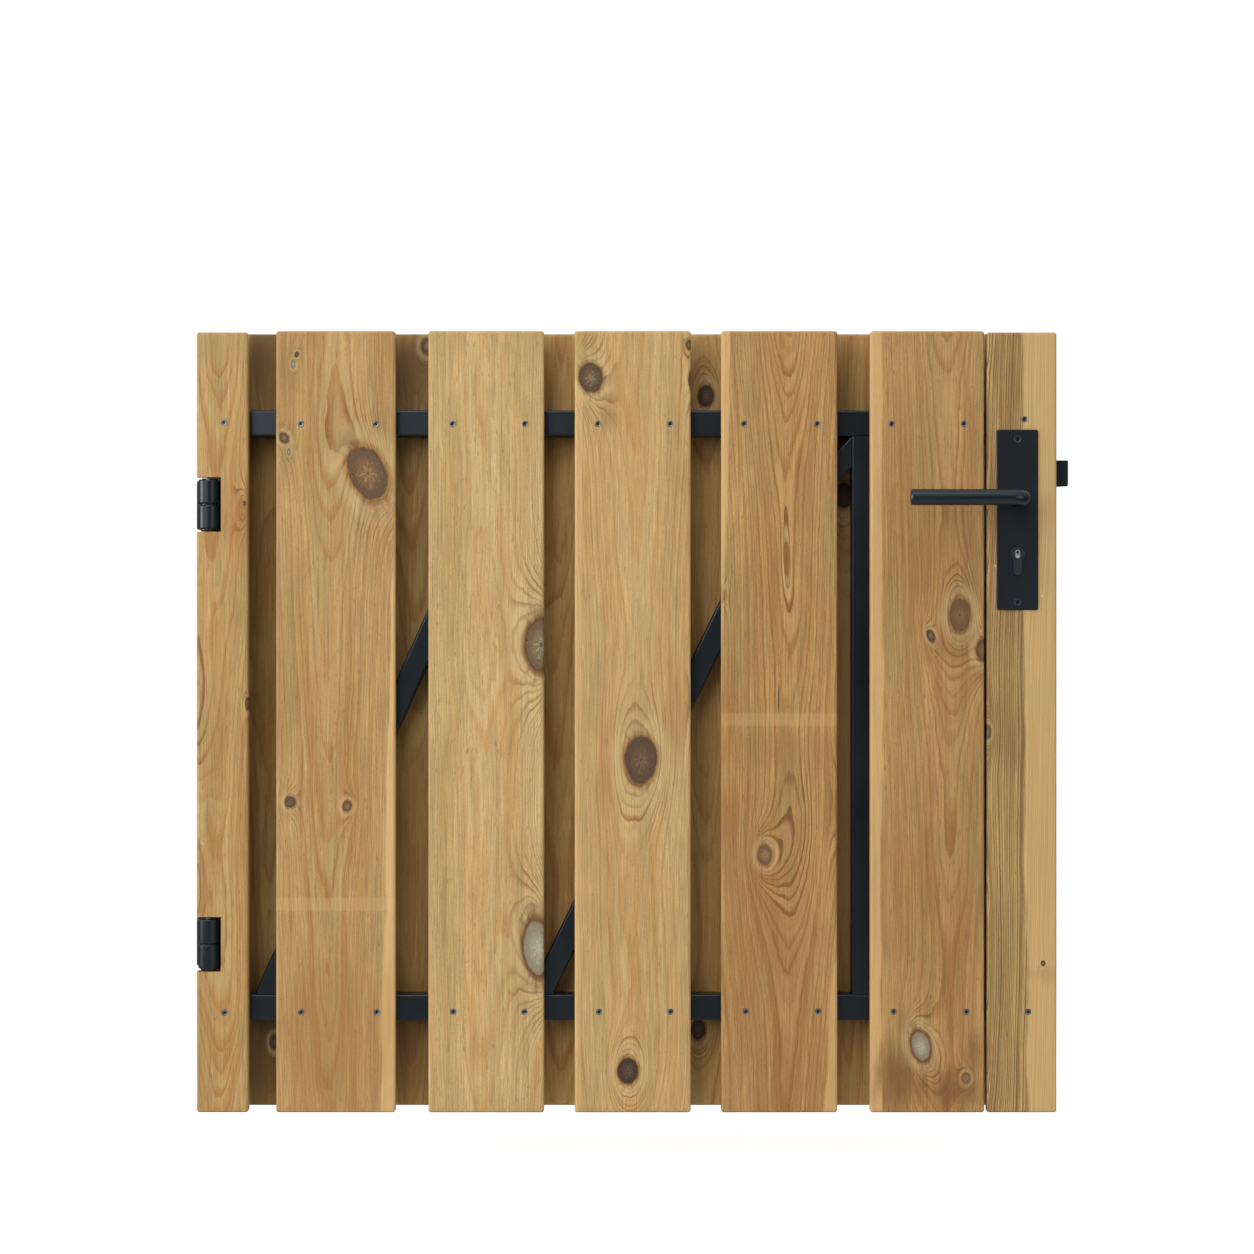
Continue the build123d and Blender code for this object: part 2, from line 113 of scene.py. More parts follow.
def new_material(name):
    """A material with an empty node tree, and what adds nodes to it."""
    material = bpy.data.materials.new(name)
    material.use_nodes = True
    material.node_tree.nodes.clear()
    return material, functools.partial(put, material.node_tree)


def dress(material, *node_names):
    """Gives CAD nodes their material."""
    for node_name in node_names:
        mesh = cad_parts[node_name].data
        mesh.materials.clear()
        mesh.materials.append(material)


def new_object(name, data):
    """A new object in the scene."""
    made = bpy.data.objects.new(name, data)
    bpy.context.scene.collection.objects.link(made)
    return made


def add_piece(name, mesh, materials, body):
    """A new mesh object that rides on a body."""
    piece = new_object(name, mesh)
    for material in materials:
        mesh.materials.append(material)
    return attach(piece, body)


def knot_field_group():
    """Where a knot lies, in board millimetres, and how the rings bend and crowd round it."""
    tree, add, given = new_group(
        "Knot Field",
        {"Vector": ("Place", "Centre"),
         "Float": ("Half Width", "Half Height", "Tilt", "Part", "Lift")},
        {"Float": ("Distance", "Across", "Along", "Shift", "Lift", "Near")})
    offset = add("VectorMath", (given["Place"], given["Centre"]), operation="SUBTRACT")[0]
    turned = add("VectorRotate", {"Vector": offset, "Angle": given["Tilt"]},
                 rotation_type="Y_AXIS")[0]
    xyz = add("SeparateXYZ", (turned,))
    across = add("Math", (xyz["X"], given["Half Width"]), operation="DIVIDE")[0]
    along = add("Math", (xyz["Z"], given["Half Height"]), operation="DIVIDE")[0]
    oval = add("CombineXYZ", {"X": across, "Y": along})[0]
    length = add("VectorMath", (oval,), operation="LENGTH")["Value"]
    uneven = add("VectorMath", (oval, given["Centre"]), operation="ADD")[0]
    uneven = add("TexNoise", {"Vector": uneven, "Scale": 1.1, "Detail": 1.5})[0]
    distance = add("Math", (uneven, 0.26, -0.13), operation="MULTIPLY_ADD")[0]
    distance = add("Math", (distance, length), operation="ADD")[0]

    # The rings flow round the knot as water flows round a stone, in an oval drawn out lengthwise.
    drawn_out = add("VectorMath", (oval, (1.0, 0.66, 0.0)), operation="MULTIPLY")[0]
    squared = add("VectorMath", (drawn_out, drawn_out), operation="DOT_PRODUCT")["Value"]
    weight = add("Math", (squared, 0.35), operation="ADD")[0]
    weight = add("Math", (given["Part"], weight), operation="DIVIDE")[0]
    weight = add("Math", (weight, 1.0), operation="MINIMUM")[0]
    shift = add("Math", (xyz["X"], weight), operation="MULTIPLY")[0]
    lift = add("Math", (squared, 0.3, 1.0), operation="MULTIPLY_ADD")[0]
    lift = add("Math", (lift, -1.5), operation="POWER")[0]
    lift = add("Math", (lift, given["Lift"]), operation="MULTIPLY")[0]
    near = add("MapRange", span(squared, 1.0, 7.0, 1.0, 0.0), **SMOOTH)[0]
    add("NodeGroupOutput", {"Distance": distance, "Across": across, "Along": along, "Shift": shift,
                            "Lift": lift, "Near": near})
    return tree


def knot_wood_group():
    """A knot's own wood, its resin stain and bark line, laid over the wood round it."""
    tree, add, given = new_group(
        "Knot Wood",
        {"Color": ("Colour", *KNOT_COLOURS),
         "Float": ("Distance", "Across", "Along", "Solid", "Stain")},
        {"Color": ("Colour",), "Float": ("Core",)})
    distance, solid, stained = given["Distance"], given["Solid"], given["Stain"]
    core = add("MapRange", span(distance, 0.93, 1.04, 1.0, 0.0), **SMOOTH)[0]
    core = add("Math", (core, solid), operation="MULTIPLY")[0]

    # Paler towards the middle, mottled, with the branch's own fine rings.
    pale = add("MapRange", span(distance, 0.15, 0.92, 0.62, 0.0), **SMOOTH)[0]
    oval = add("CombineXYZ", {"X": given["Across"], "Y": given["Along"]})[0]
    mottle = add("TexNoise", {"Vector": oval, "Scale": 7.0, "Detail": 2.0, "Roughness": 0.7})[0]
    mottle = add("MapRange", span(mottle, 0.35, 0.75, -0.14, 0.34))[0]
    pale = add("Math", (pale, mottle), operation="ADD")[0]
    rings = add("Math", (distance, 34.0), operation="MULTIPLY")[0]
    rings = add("Math", (rings,), operation="SINE")[0]
    pale = add("Math", (rings, 0.035, pale), operation="MULTIPLY_ADD")[0]

    # Pale rays run out from the middle like a star, and bits of pale resin lie between them.
    angle = add("Math", (given["Along"], given["Across"]), operation="ARCTAN2")[0]
    rays = add("Math", (angle, 9 / math.tau, 9.0), operation="MULTIPLY_ADD")[0]
    rays = add("Math", (mottle, 1.6, rays), operation="MULTIPLY_ADD")[0]
    ray = add("Math", (rays,), operation="FLOOR")[0]
    ray = add("TexWhiteNoise", {"W": ray}, noise_dimensions="1D")[0]
    for operation, *more in (("FRACT",), ("SUBTRACT", 0.5), ("ABSOLUTE",), ("MULTIPLY", distance)):
        rays = add("Math", (rays, *more), operation=operation)[0]
    rays = add("MapRange", span(rays, 0.01, 0.05, 0.5, 0.0))[0]
    ray_end = add("Math", (ray, 0.6, 0.1), operation="MULTIPLY_ADD")[0]
    ray_end = add("Math", (ray_end, distance), operation="GREATER_THAN")[0]
    rays = add("Math", (rays, ray_end), operation="MULTIPLY")[0]
    flecks = add("TexVoronoi", {"Vector": oval, "Scale": 4.5})["Distance"]
    flecks = add("MapRange", span(flecks, 0.08, 0.16, 0.55, 0.0))[0]
    rays = add("Math", (rays, flecks), operation="MAXIMUM")[0]
    pith = add("MapRange", span(distance, 0.03, 0.11, 0.85, 0.0))[0]
    inside = given["Heart"]
    for amount, tint in ((pale, given["Star"]), (rays, given["Ray"]), (pith, linear("2E221A"))):
        inside = add("Mix", {"Factor": amount, "A": inside, "B": tint}, **COLOURS)["Result"]

    # Round it, resin-stained rings crowd together; beyond them the wood is pale.
    cream_in = add("MapRange", span(distance, 1.12, 1.4), **SMOOTH)[0]
    cream_out = add("MapRange", span(distance, 1.5, 2.3, 0.3, 0.0), **SMOOTH)[0]
    stain = add("MapRange", span(distance, 0.97, 1.3, 1.0, 0.0), **SMOOTH)[0]
    strokes = add("Math", (angle, 5.5), operation="MULTIPLY")[0]
    strokes = add("CombineXYZ", {"X": strokes, "Y": distance})[0]
    strokes = add("TexNoise", {"Vector": strokes, "Scale": 1.0, "Detail": 3.0,
                               "Roughness": 0.65})[0]
    strokes = add("MapRange", span(strokes, 0.46, 0.62))[0]
    steep = angle
    for operation in ("SINE", "ABSOLUTE"):
        steep = add("Math", (steep,), operation=operation)[0]
    steep = add("MapRange", span(steep, 0.5, 0.9), **SMOOTH)[0]
    reach = add("MapRange", span(distance, 1.05, 2.0, 0.8, 0.0))[0]
    hoops = add("Math", (distance, 62.0), operation="MULTIPLY")[0]
    hoops = add("Math", (hoops,), operation="SINE")[0]
    hoops = add("MapRange", span(hoops, 0.1, 1.0))[0]
    fade = add("MapRange", span(distance, 1.04, 1.42, 0.5, 0.0))[0]
    outside = given["Colour"]
    for amount, factors, tint in (
            (cream_in, (cream_out, solid), linear("D3B681")),
            (stain, (stained,), given["Halo"]),
            (strokes, (steep, reach, stained), linear("5A3C22")),
            (hoops, (fade, solid, stained), linear("7A4E2A"))):
        for factor in factors:
            amount = add("Math", (amount, factor), operation="MULTIPLY")[0]
        outside = add("Mix", {"Factor": amount, "A": outside, "B": tint}, **COLOURS)["Result"]
    both = add("Mix", {"Factor": core, "A": outside, "B": inside}, **COLOURS)["Result"]

    # A broken dark line of bark.
    edge = add("MapRange", span(distance, 0.88, 0.98), **SMOOTH)[0]
    past = add("MapRange", span(distance, 0.99, 1.09, 1.0, 0.0), **SMOOTH)[0]
    broken = add("TexNoise", {"Vector": oval, "Scale": 2.3, "Detail": 2.0})[0]
    broken = add("MapRange", span(broken, 0.4, 0.6, 0.1, 0.75))[0]
    for factor in (past, broken, solid):
        edge = add("Math", (edge, factor), operation="MULTIPLY")[0]
    both = add("Mix", {"Factor": edge, "A": both, "B": linear("4A3224")}, **COLOURS)["Result"]
    add("NodeGroupOutput", {"Colour": both, "Core": core})
    return tree


def pine_group():
    """Sawn pine, in board millimetres: growth rings round a pith, cut by the board's faces."""
    tree, add, given = new_group(
        "Pine",
        {"Vector": ("Place", "Seed", "Pith"), "Color": ("Early", "Amber", "Side"),
         "Float": ("Taper", "Ring", "Shift", "Lift", "Near", "Wander", "Contrast", "Drift")},
        {"Color": ("Colour",), "Float": ("Late",)})
    seeded = add("VectorMath", (given["Place"], given["Seed"]), operation="ADD")[0]
    noises = []
    for scale, detail, roughness in (
            ((1 / 110, 1 / 110, 1 / 330), 1.5, 0.4), ((1 / 24, 1 / 24, 1 / 120), 2.0, 0.5),
            ((1 / 8, 1 / 8, 1 / 24), 2.0, 0.5), ((1 / 30, 1 / 30, 1 / 240), 4.0, 0.6),
            (FIBRE, 2.0, 0.7), ((0.42, 0.42, 0.011), 2.0, 0.5), ((0.7, 0.7, 0.09), 1.0, 0.5)):
        place = add("VectorMath", (seeded, scale), operation="MULTIPLY")[0]
        noises.append(add("TexNoise", {"Vector": place, "Scale": 1.0, "Detail": detail,
                                       "Roughness": roughness}))
    slow, bends, waves, drift, fibre, streak, ducts = noises

    # The pith wanders slowly along the log, so the rings part into long arches.
    slow = add("VectorMath", (slow["Color"], (0.5, 0.5, 0.5)), operation="SUBTRACT")[0]
    slow = add("VectorMath", {0: slow, "Scale": given["Wander"]}, operation="SCALE")[0]
    slow = add("VectorMath", (slow, (3.0, 3.0, 0.0)), operation="MULTIPLY")[0]
    parted = add("CombineXYZ", {"X": given["Shift"]})[0]
    from_pith = given["Place"]
    for operation, by in (("SUBTRACT", given["Pith"]), ("SUBTRACT", parted),
                          ("MULTIPLY", (1.0, 1.0, 0.0)), ("ADD", slow)):
        from_pith = add("VectorMath", (from_pith, by), operation=operation)[0]
    radius = add("VectorMath", (from_pith,), operation="LENGTH")["Value"]
    height = add("SeparateXYZ", (given["Place"],))["Z"]
    taper = add("Math", (height, given["Taper"]), operation="MULTIPLY")[0]
    for less in (taper, given["Lift"]):
        radius = add("Math", (radius, less), operation="SUBTRACT")[0]
    for wave, depth in ((bends, 3.4), (waves, 1.1)):
        radius = add("Math", (wave[0], depth, radius), operation="MULTIPLY_ADD")[0]

    # Wide and narrow years, strong and faint ones.
    years = add("TexNoise", {"W": radius, "Scale": 0.09, "Detail": 1.0}, noise_dimensions="1D")[0]
    phase = add("Math", (radius, given["Ring"]), operation="DIVIDE")[0]
    phase = add("Math", (years, 3.0, phase), operation="MULTIPLY_ADD")[0]
    year = add("Math", (phase,), operation="FLOOR")[0]
    strength = add("TexWhiteNoise", {"W": year}, noise_dimensions="1D")[0]
    strength = add("MapRange", span(strength, 0.0, 1.0, 0.35))[0]
    season = add("Math", (phase,), operation="FRACT")[0]
    late = add("MapRange", span(season, 0.5, 0.92), **SMOOTH)[0]
    end = add("MapRange", span(season, 0.93, 1.0, 1.0, 0.0), **SMOOTH)[0]
    for factor in (end, strength):
        late = add("Math", (late, factor), operation="MULTIPLY")[0]
    stronger = add("Math", (given["Near"], 1.1, 1.0), operation="MULTIPLY_ADD")[0]
    dark = add("Math", (late, given["Contrast"]), operation="MULTIPLY")[0]
    dark = add("Math", (dark, stronger), operation="MULTIPLY", use_clamp=True)[0]

    # Arches in the middle are amber; the close upright lines beside them and near knots are greyer.
    flat = add("VectorMath", (from_pith,), operation="NORMALIZE")[0]
    flat = add("SeparateXYZ", (flat,))["Y"]
    flat = add("Math", (flat,), operation="ABSOLUTE")[0]
    flat = add("MapRange", span(flat, 0.68, 0.95), **SMOOTH)[0]
    grey = add("Math", (given["Near"], 0.6), operation="MULTIPLY")[0]
    line = given["Side"]
    for amount, tint in ((flat, given["Amber"]), (grey, linear("6C4D2D"))):
        line = add("Mix", {"Factor": amount, "A": line, "B": tint}, **COLOURS)["Result"]

    # Broad drifts of tone and a greenish cast from the preservative.
    decades = add("TexNoise", {"W": radius, "Scale": 0.17, "Detail": 3.0, "Roughness": 0.65},
                  noise_dimensions="1D")[0]
    warm = add("Math", (decades, drift[0]), operation="ADD")[0]
    warm = add("MapRange", span(warm, 0.85, 1.25, 0.0, given["Drift"]))[0]
    green = add("SeparateColor", (drift["Color"],))["Green"]
    green = add("MapRange", span(green, 0.46, 0.7, 0.0, 0.5))[0]
    wood = given["Early"]
    for amount, tint in ((warm, given["Amber"]), (green, linear("96834F")), (dark, line)):
        wood = add("Mix", {"Factor": amount, "A": wood, "B": tint}, **COLOURS)["Result"]

    # Fine fibres, short resin ducts, and the nap that planing leaves.
    nap = add("TexNoise", {"Vector": seeded, "Scale": 0.55, "Detail": 2.0, "Roughness": 0.75})[0]
    both = add("Math", (nap, 0.45, fibre[0]), operation="MULTIPLY_ADD")[0]
    both = add("Math", (streak[0], 0.5, both), operation="MULTIPLY_ADD")[0]
    shade = add("MapRange", span(both, 0.67, 1.28, 0.7, 1.26))[0]
    wood = add("VectorMath", {0: wood, "Scale": shade}, operation="SCALE")[0]
    ducts = add("MapRange", span(ducts[0], 0.66, 0.75, 0.0, 0.6))[0]
    wood = add("Mix", {"Factor": ducts, "A": wood, "B": linear("8A5C30")}, **COLOURS)["Result"]
    add("NodeGroupOutput", {"Colour": wood, "Late": late})
    return tree


# The scale of the fibre noise, per millimetre, across the grain and along it.
FIBRE = (0.9, 0.9, 0.024)
KNOT_COLOURS = ("Heart", "Star", "Ray", "Halo")
KNOT_KINDS = {
    # kind: its wood, its paler middle, its rays, the stain round it, how solid, how stained
    "brown": ("5A422E", "86623B", "B8925C", "96622F", 1.0, 0.6),
    "live": ("523D2C", "69503C", "8A7054", "8E5C2C", 1.0, 0.65),
    "russet": ("694B30", "785A3B", "927550", "8E5E2E", 1.0, 0.6),
    "tan": ("6C4E31", "93704A", "B89A68", "96642F", 1.0, 0.6),
    "grey": ("68503A", "8A7656", "B4B294", "643C1A", 0.95, 1.0),
    "dead": ("4C3926", "785E3E", "A6A283", "7A5632", 1.0, 0.6),
    "pale": ("847A60", "A6A286", "CAC8B0", "643C1A", 0.95, 1.0),
    "dark": ("3E2C20", "553F2E", "7C6A50", "855628", 1.0, 0.6),
    "green": ("5A6650", "8C9C84", "A8B29C", "7C6440", 1.0, 0.4),
    "resin": ("7C5026", "8A5C2E", "8A5C2E", "9A6A34", 0.75, 0.4),
    "crack": ("4A3A28", "4A3A28", "4A3A28", "8A6A40", 0.8, 0.2),
    "chip": ("BDB298", "D4CEBC", "D4CEBC", "B89762", 1.0, 0.0),
    # no knot in this face, only the rings that one behind it has pushed aside, and its stain
    "flame": ("9A6236", "9A6236", "9A6236", "96602F", 0.0, 0.42),
    "swirl": ("A87434", "A87434", "A87434", "A87434", 0.0, 0.0),
}
# Each board: its pith (across from its middle, depth behind its face), how fast the rings narrow
# upwards, ring width, wander, contrast, tone, amber, and its knots: x from the board's left edge,
# height above its foot, half width, half height, tilt in degrees, how far it parts and lifts the
# rings, and its kind. "sap" is a pale strip: -1 left or 1 right of a line, where that starts at the
# foot and ends at the top, and its strength. "bands" are lath marks, from and to a height. A shade
# is x, height, half width, half height, strength and colour. "drift" and "side" take the place of
# the usual drift and side lines. All sizes are in millimetres.
FRONT_PINE = (
    {"pith": (-10, -38), "taper": 0.03, "ring": 2.6, "wander": 11, "contrast": 0.85,
     "tone": "B5955F", "amber": "9C6830",
     "knots": (
         (54.7, 700.8, 1.9, 4.0, 0, 1.0, 8, "dark"), (52, 694, 6, 12, 0, 0.8, 12, "flame"),
         (-6, 478, 9, 30, 0, 1.0, 18, "swirl"), (58.6, 471, 2.4, 7, 0, 1.2, 9, "dead"),
         (6.7, 310, 0.8, 1.9, 20, 0.3, 0, "chip"), (-4, 250, 7, 26, 0, 1.0, 18, "swirl")),
     "shades": ((46, 676, 18, 60, 0.5, "9E6630"), (20, 880, 40, 22, 0.35, "968050"))},
    {"pith": (-6, -44), "taper": 0.026, "ring": 2.7, "wander": 5, "contrast": 0.75,
     "tone": "B4935F", "amber": "9C6830", "drift": 0.65, "bands": ((231, 246),),
     "sap": ((1, 120, 139, 0.6),),
     "knots": (
         (105.6, 736.5, 20.8, 31.6, 23, 1.0, 18, "brown"),
         (19.7, 862, 2.3, 4.6, 0, 1.2, 10, "green"), (24, 873, 2.4, 3.2, -20, 1.0, 6, "dark"),
         (9.5, 776.8, 5.0, 6.4, 30, 1.2, 12, "dead"), (15.1, 760.7, 1.9, 3.6, 0, 1.0, 4, "green"),
         (16.3, 357.7, 6.0, 6.6, 0, 1.2, 14, "live"),
         (81.9, 353.1, 5.4, 6.3, -10, 1.2, 12, "brown")),
     "shades": (
         (16, 862, 16, 40, 0.4, "806A3E"), (12, 768, 12, 46, 0.4, "806A3E"),
         (92, 780, 22, 16, 0.45, "86683A"), (118, 694, 22, 16, 0.5, "866034"),
         (68, 90, 90, 130, 0.4, "94642F"))},
    {"pith": (-2, -58), "taper": 0.016, "ring": 2.4, "wander": 5, "contrast": 0.6, "tone": "C2A470",
     "amber": "B08044", "drift": 0.55,
     "knots": (
         (130.0, 538.5, 18.5, 28.8, 0, 1.0, 44, "grey"),
         (126.2, 189.7, 17.0, 31.7, 6, 1.0, 44, "pale")),
     "shades": (
         (130, 574, 14, 9, 0.6, "6E4826"), (132, 505, 11, 9, 0.6, "6E4826"),
         (124, 538, 26, 42, 0.4, "94683A"), (126, 232, 15, 14, 0.6, "6E4422"),
         (122, 190, 26, 46, 0.35, "8E6236"), (122, 150, 18, 14, 0.55, "7C4E26"))},
    {"pith": (2, -46), "taper": 0.024, "ring": 2.8, "wander": 8, "contrast": 0.62, "tone": "C0A06B",
     "amber": "AE7C40", "drift": 0.55, "sap": ((-1, 7, 7, 0.3),),
     "knots": (
         (18.3, 846.1, 13.6, 17.0, 12, 1.0, 28, "dead"),
         (131.6, 883.8, 3.5, 5.8, 0, 1.0, 8, "dead"), (138, 843.5, 7, 14, 0, 1.2, 18, "dead"),
         (76.3, 406.1, 18.8, 27.8, 0, 0.9, 18, "live"),
         (61.4, 48.1, 12.2, 15.0, 0, 1.0, 24, "dark"), (139, 470, 6, 20, 0, 1.2, 16, "swirl")),
     "shades": (
         (34, 400, 14, 90, 0.35, "966434"), (118, 470, 14, 90, 0.35, "946233"),
         (8, 880, 20, 40, 0.3, "927239"), (38, 800, 12, 22, 0.4, "845F34"))},
    {"pith": (10, -42), "taper": 0.034, "ring": 2.4, "wander": 6, "contrast": 0.95,
     "tone": "B78F59", "amber": "8E5C26", "bands": ((444, 458),),
     "sap": ((-1, -12.5, 10, 0.5), (1, 118, 181, 0.5)),
     "knots": (
         (50.3, 296.7, 8.1, 11.5, 0, 1.0, 26, "tan"), (78, 312, 13, 28, -8, 0.5, 6, "swirl"),
         (138, 350, 8, 26, 0, 1.2, 20, "swirl"), (75.3, 638, 3.2, 20, 2, 1.0, 8, "resin"),
         (66.2, 476, 0.8, 15, 0, 0.6, 1, "crack"), (2, 595, 5, 8, 0, 1.0, 10, "flame")),
     "shades": (
         (66, 180, 90, 260, 0.26, "8C5E30"), (66, 420, 80, 24, 0.2, "865A30"),
         (6, 340, 20, 40, 0.45, "8C5A28"))},
    {"pith": (24, -40), "taper": 0.03, "ring": 2.2, "wander": 5, "contrast": 0.7, "tone": "B48C57",
     "amber": "8C5A28", "drift": 0.6, "sap": ((-1, 13, 13, 0.5),),
     "knots": (
         (103.1, 573, 12.1, 18.4, 0, 0.8, 20, "russet"),
         (69.7, 548.8, 4.2, 7.2, 20, 1.2, 12, "dead"),
         (130.6, 532.7, 8.8, 12.7, 0, 1.0, 20, "brown"),
         (58.2, 76.9, 10.9, 17.3, 14, 1.0, 30, "pale"), (110, 40, 4.6, 5.8, 0, 1.2, 14, "tan")),
     "shades": (
         (30, 40, 34, 46, 0.7, "6E451F"), (98, 28, 40, 30, 0.65, "684223"),
         (118, 70, 14, 34, 0.55, "734A24"), (92, 540, 44, 30, 0.35, "805528"),
         (66, 250, 80, 160, 0.2, "805628"))},
    {"pith": (-80, -24), "taper": 0.02, "ring": 2.3, "wander": 9, "contrast": 1.5, "tone": "B8965F",
     "amber": "7C5628", "side": "6C5230", "sap": ((1, 47.5, 40.5, 0.55),),
     "knots": (
         (1.3, 438.3, 3.4, 7.4, 0, 1.4, 24, "dead"), (64.8, 172, 2.6, 3.2, 0, 1.0, 6, "dead"),
         (9.8, 629.4, 1.1, 1.6, 0, 0.3, 0, "chip"), (63, 595.2, 1.7, 1.4, 0, 0.3, 0, "chip")),
     "shades": (
         (6, 700, 9, 60, 0.5, "66502F"), (38, 560, 5, 30, 0.25, "7E623A"),
         (70, 160, 26, 12, 0.25, "8C6A38"), (20, 440, 24, 60, 0.35, "7A5A30"))},
)
# The back boards are seen through the deep gaps between the front boards. Their tones are darker
# than the front boards' partly because of their own wood and partly as painted shade of those gaps.
BACK_PINE = (
    {"pith": (6, -48), "taper": 0.02, "ring": 2.8, "wander": 8, "contrast": 0.8, "tone": "8C6C38",
     "amber": "7A501C",
     "knots": ((75.4, 73.8, 4.6, 8.1, 0, 1.2, 16, "dark"), (30, 500, 10, 16, 0, 1.0, 22, "live")),
     # painted shade: this board is darkened at its foot and at its top
     "shades": ((76, 60, 90, 120, 0.75, "563C1A"), (76, 880, 90, 80, 0.75, "5E4320"))},
    {"pith": (-4, -40), "taper": 0.03, "ring": 3.0, "wander": 8, "contrast": 0.9, "tone": "9E7C46",
     "amber": "845A28",
     "knots": ((82, 886, 7, 9, 0, 1.0, 30, "dead"), (104, 300, 9, 13, -10, 1.0, 22, "live")),
     # painted shade: this board is darkened at its top and at its foot; the wide weak patch about
     # the middle is a slight darkening
     "shades": (
         (66, 860, 70, 70, 0.7, "62482A"), (66, 60, 60, 70, 0.45, "75552A"),
         (66, 310, 60, 160, 0.22, "866532"))},
    {"pith": (2, -50), "taper": 0.016, "ring": 2.8, "wander": 7, "contrast": 0.8, "tone": "B28B53",
     "amber": "96642C",
     "knots": ((24, 640, 12, 17, 8, 1.0, 28, "live"),)},
    {"pith": (0, -46), "taper": 0.018, "ring": 2.8, "wander": 7, "contrast": 0.8, "tone": "B48E56",
     "amber": "98682E",
     "knots": (
         (68.2, 827.5, 9.2, 12.7, 0, 1.0, 20, "dark"), (59.2, 88.6, 8.8, 11.4, 0, 1.0, 22, "dark"),
         (104, 420, 7, 10, 0, 1.0, 16, "live"))},
    {"pith": (-6, -44), "taper": 0.022, "ring": 2.9, "wander": 7, "contrast": 0.85,
     "tone": "B38D57", "amber": "96662E",
     "knots": ((58.1, 712, 10.5, 15, 0, 1.0, 22, "dark"), (28, 250, 11, 15, 0, 1.0, 24, "live")),
     # painted light: a paler upright strip where this board shows beside the inner stile, lifting
     # what lies in shade there
     "shades": ((60, 420, 18, 420, 0.5, "D2A468"),)},
    {"pith": (4, -52), "taper": 0.014, "ring": 2.7, "wander": 6, "contrast": 0.75, "tone": "BE995F",
     "amber": "A07038",
     "knots": ((30, 180, 8, 12, 0, 1.0, 18, "tan"),)},
)
USUAL_DRIFT = 0.7
SEED_REACH = 900
# how ragged the edges of sapwood and lath marks are, and a mark's soft edge, all in millimetres
SAP_RAGGED = 14.0
BAND_RAGGED = 3.0
BAND_EDGE = 3
BAND_STRENGTH = 0.17


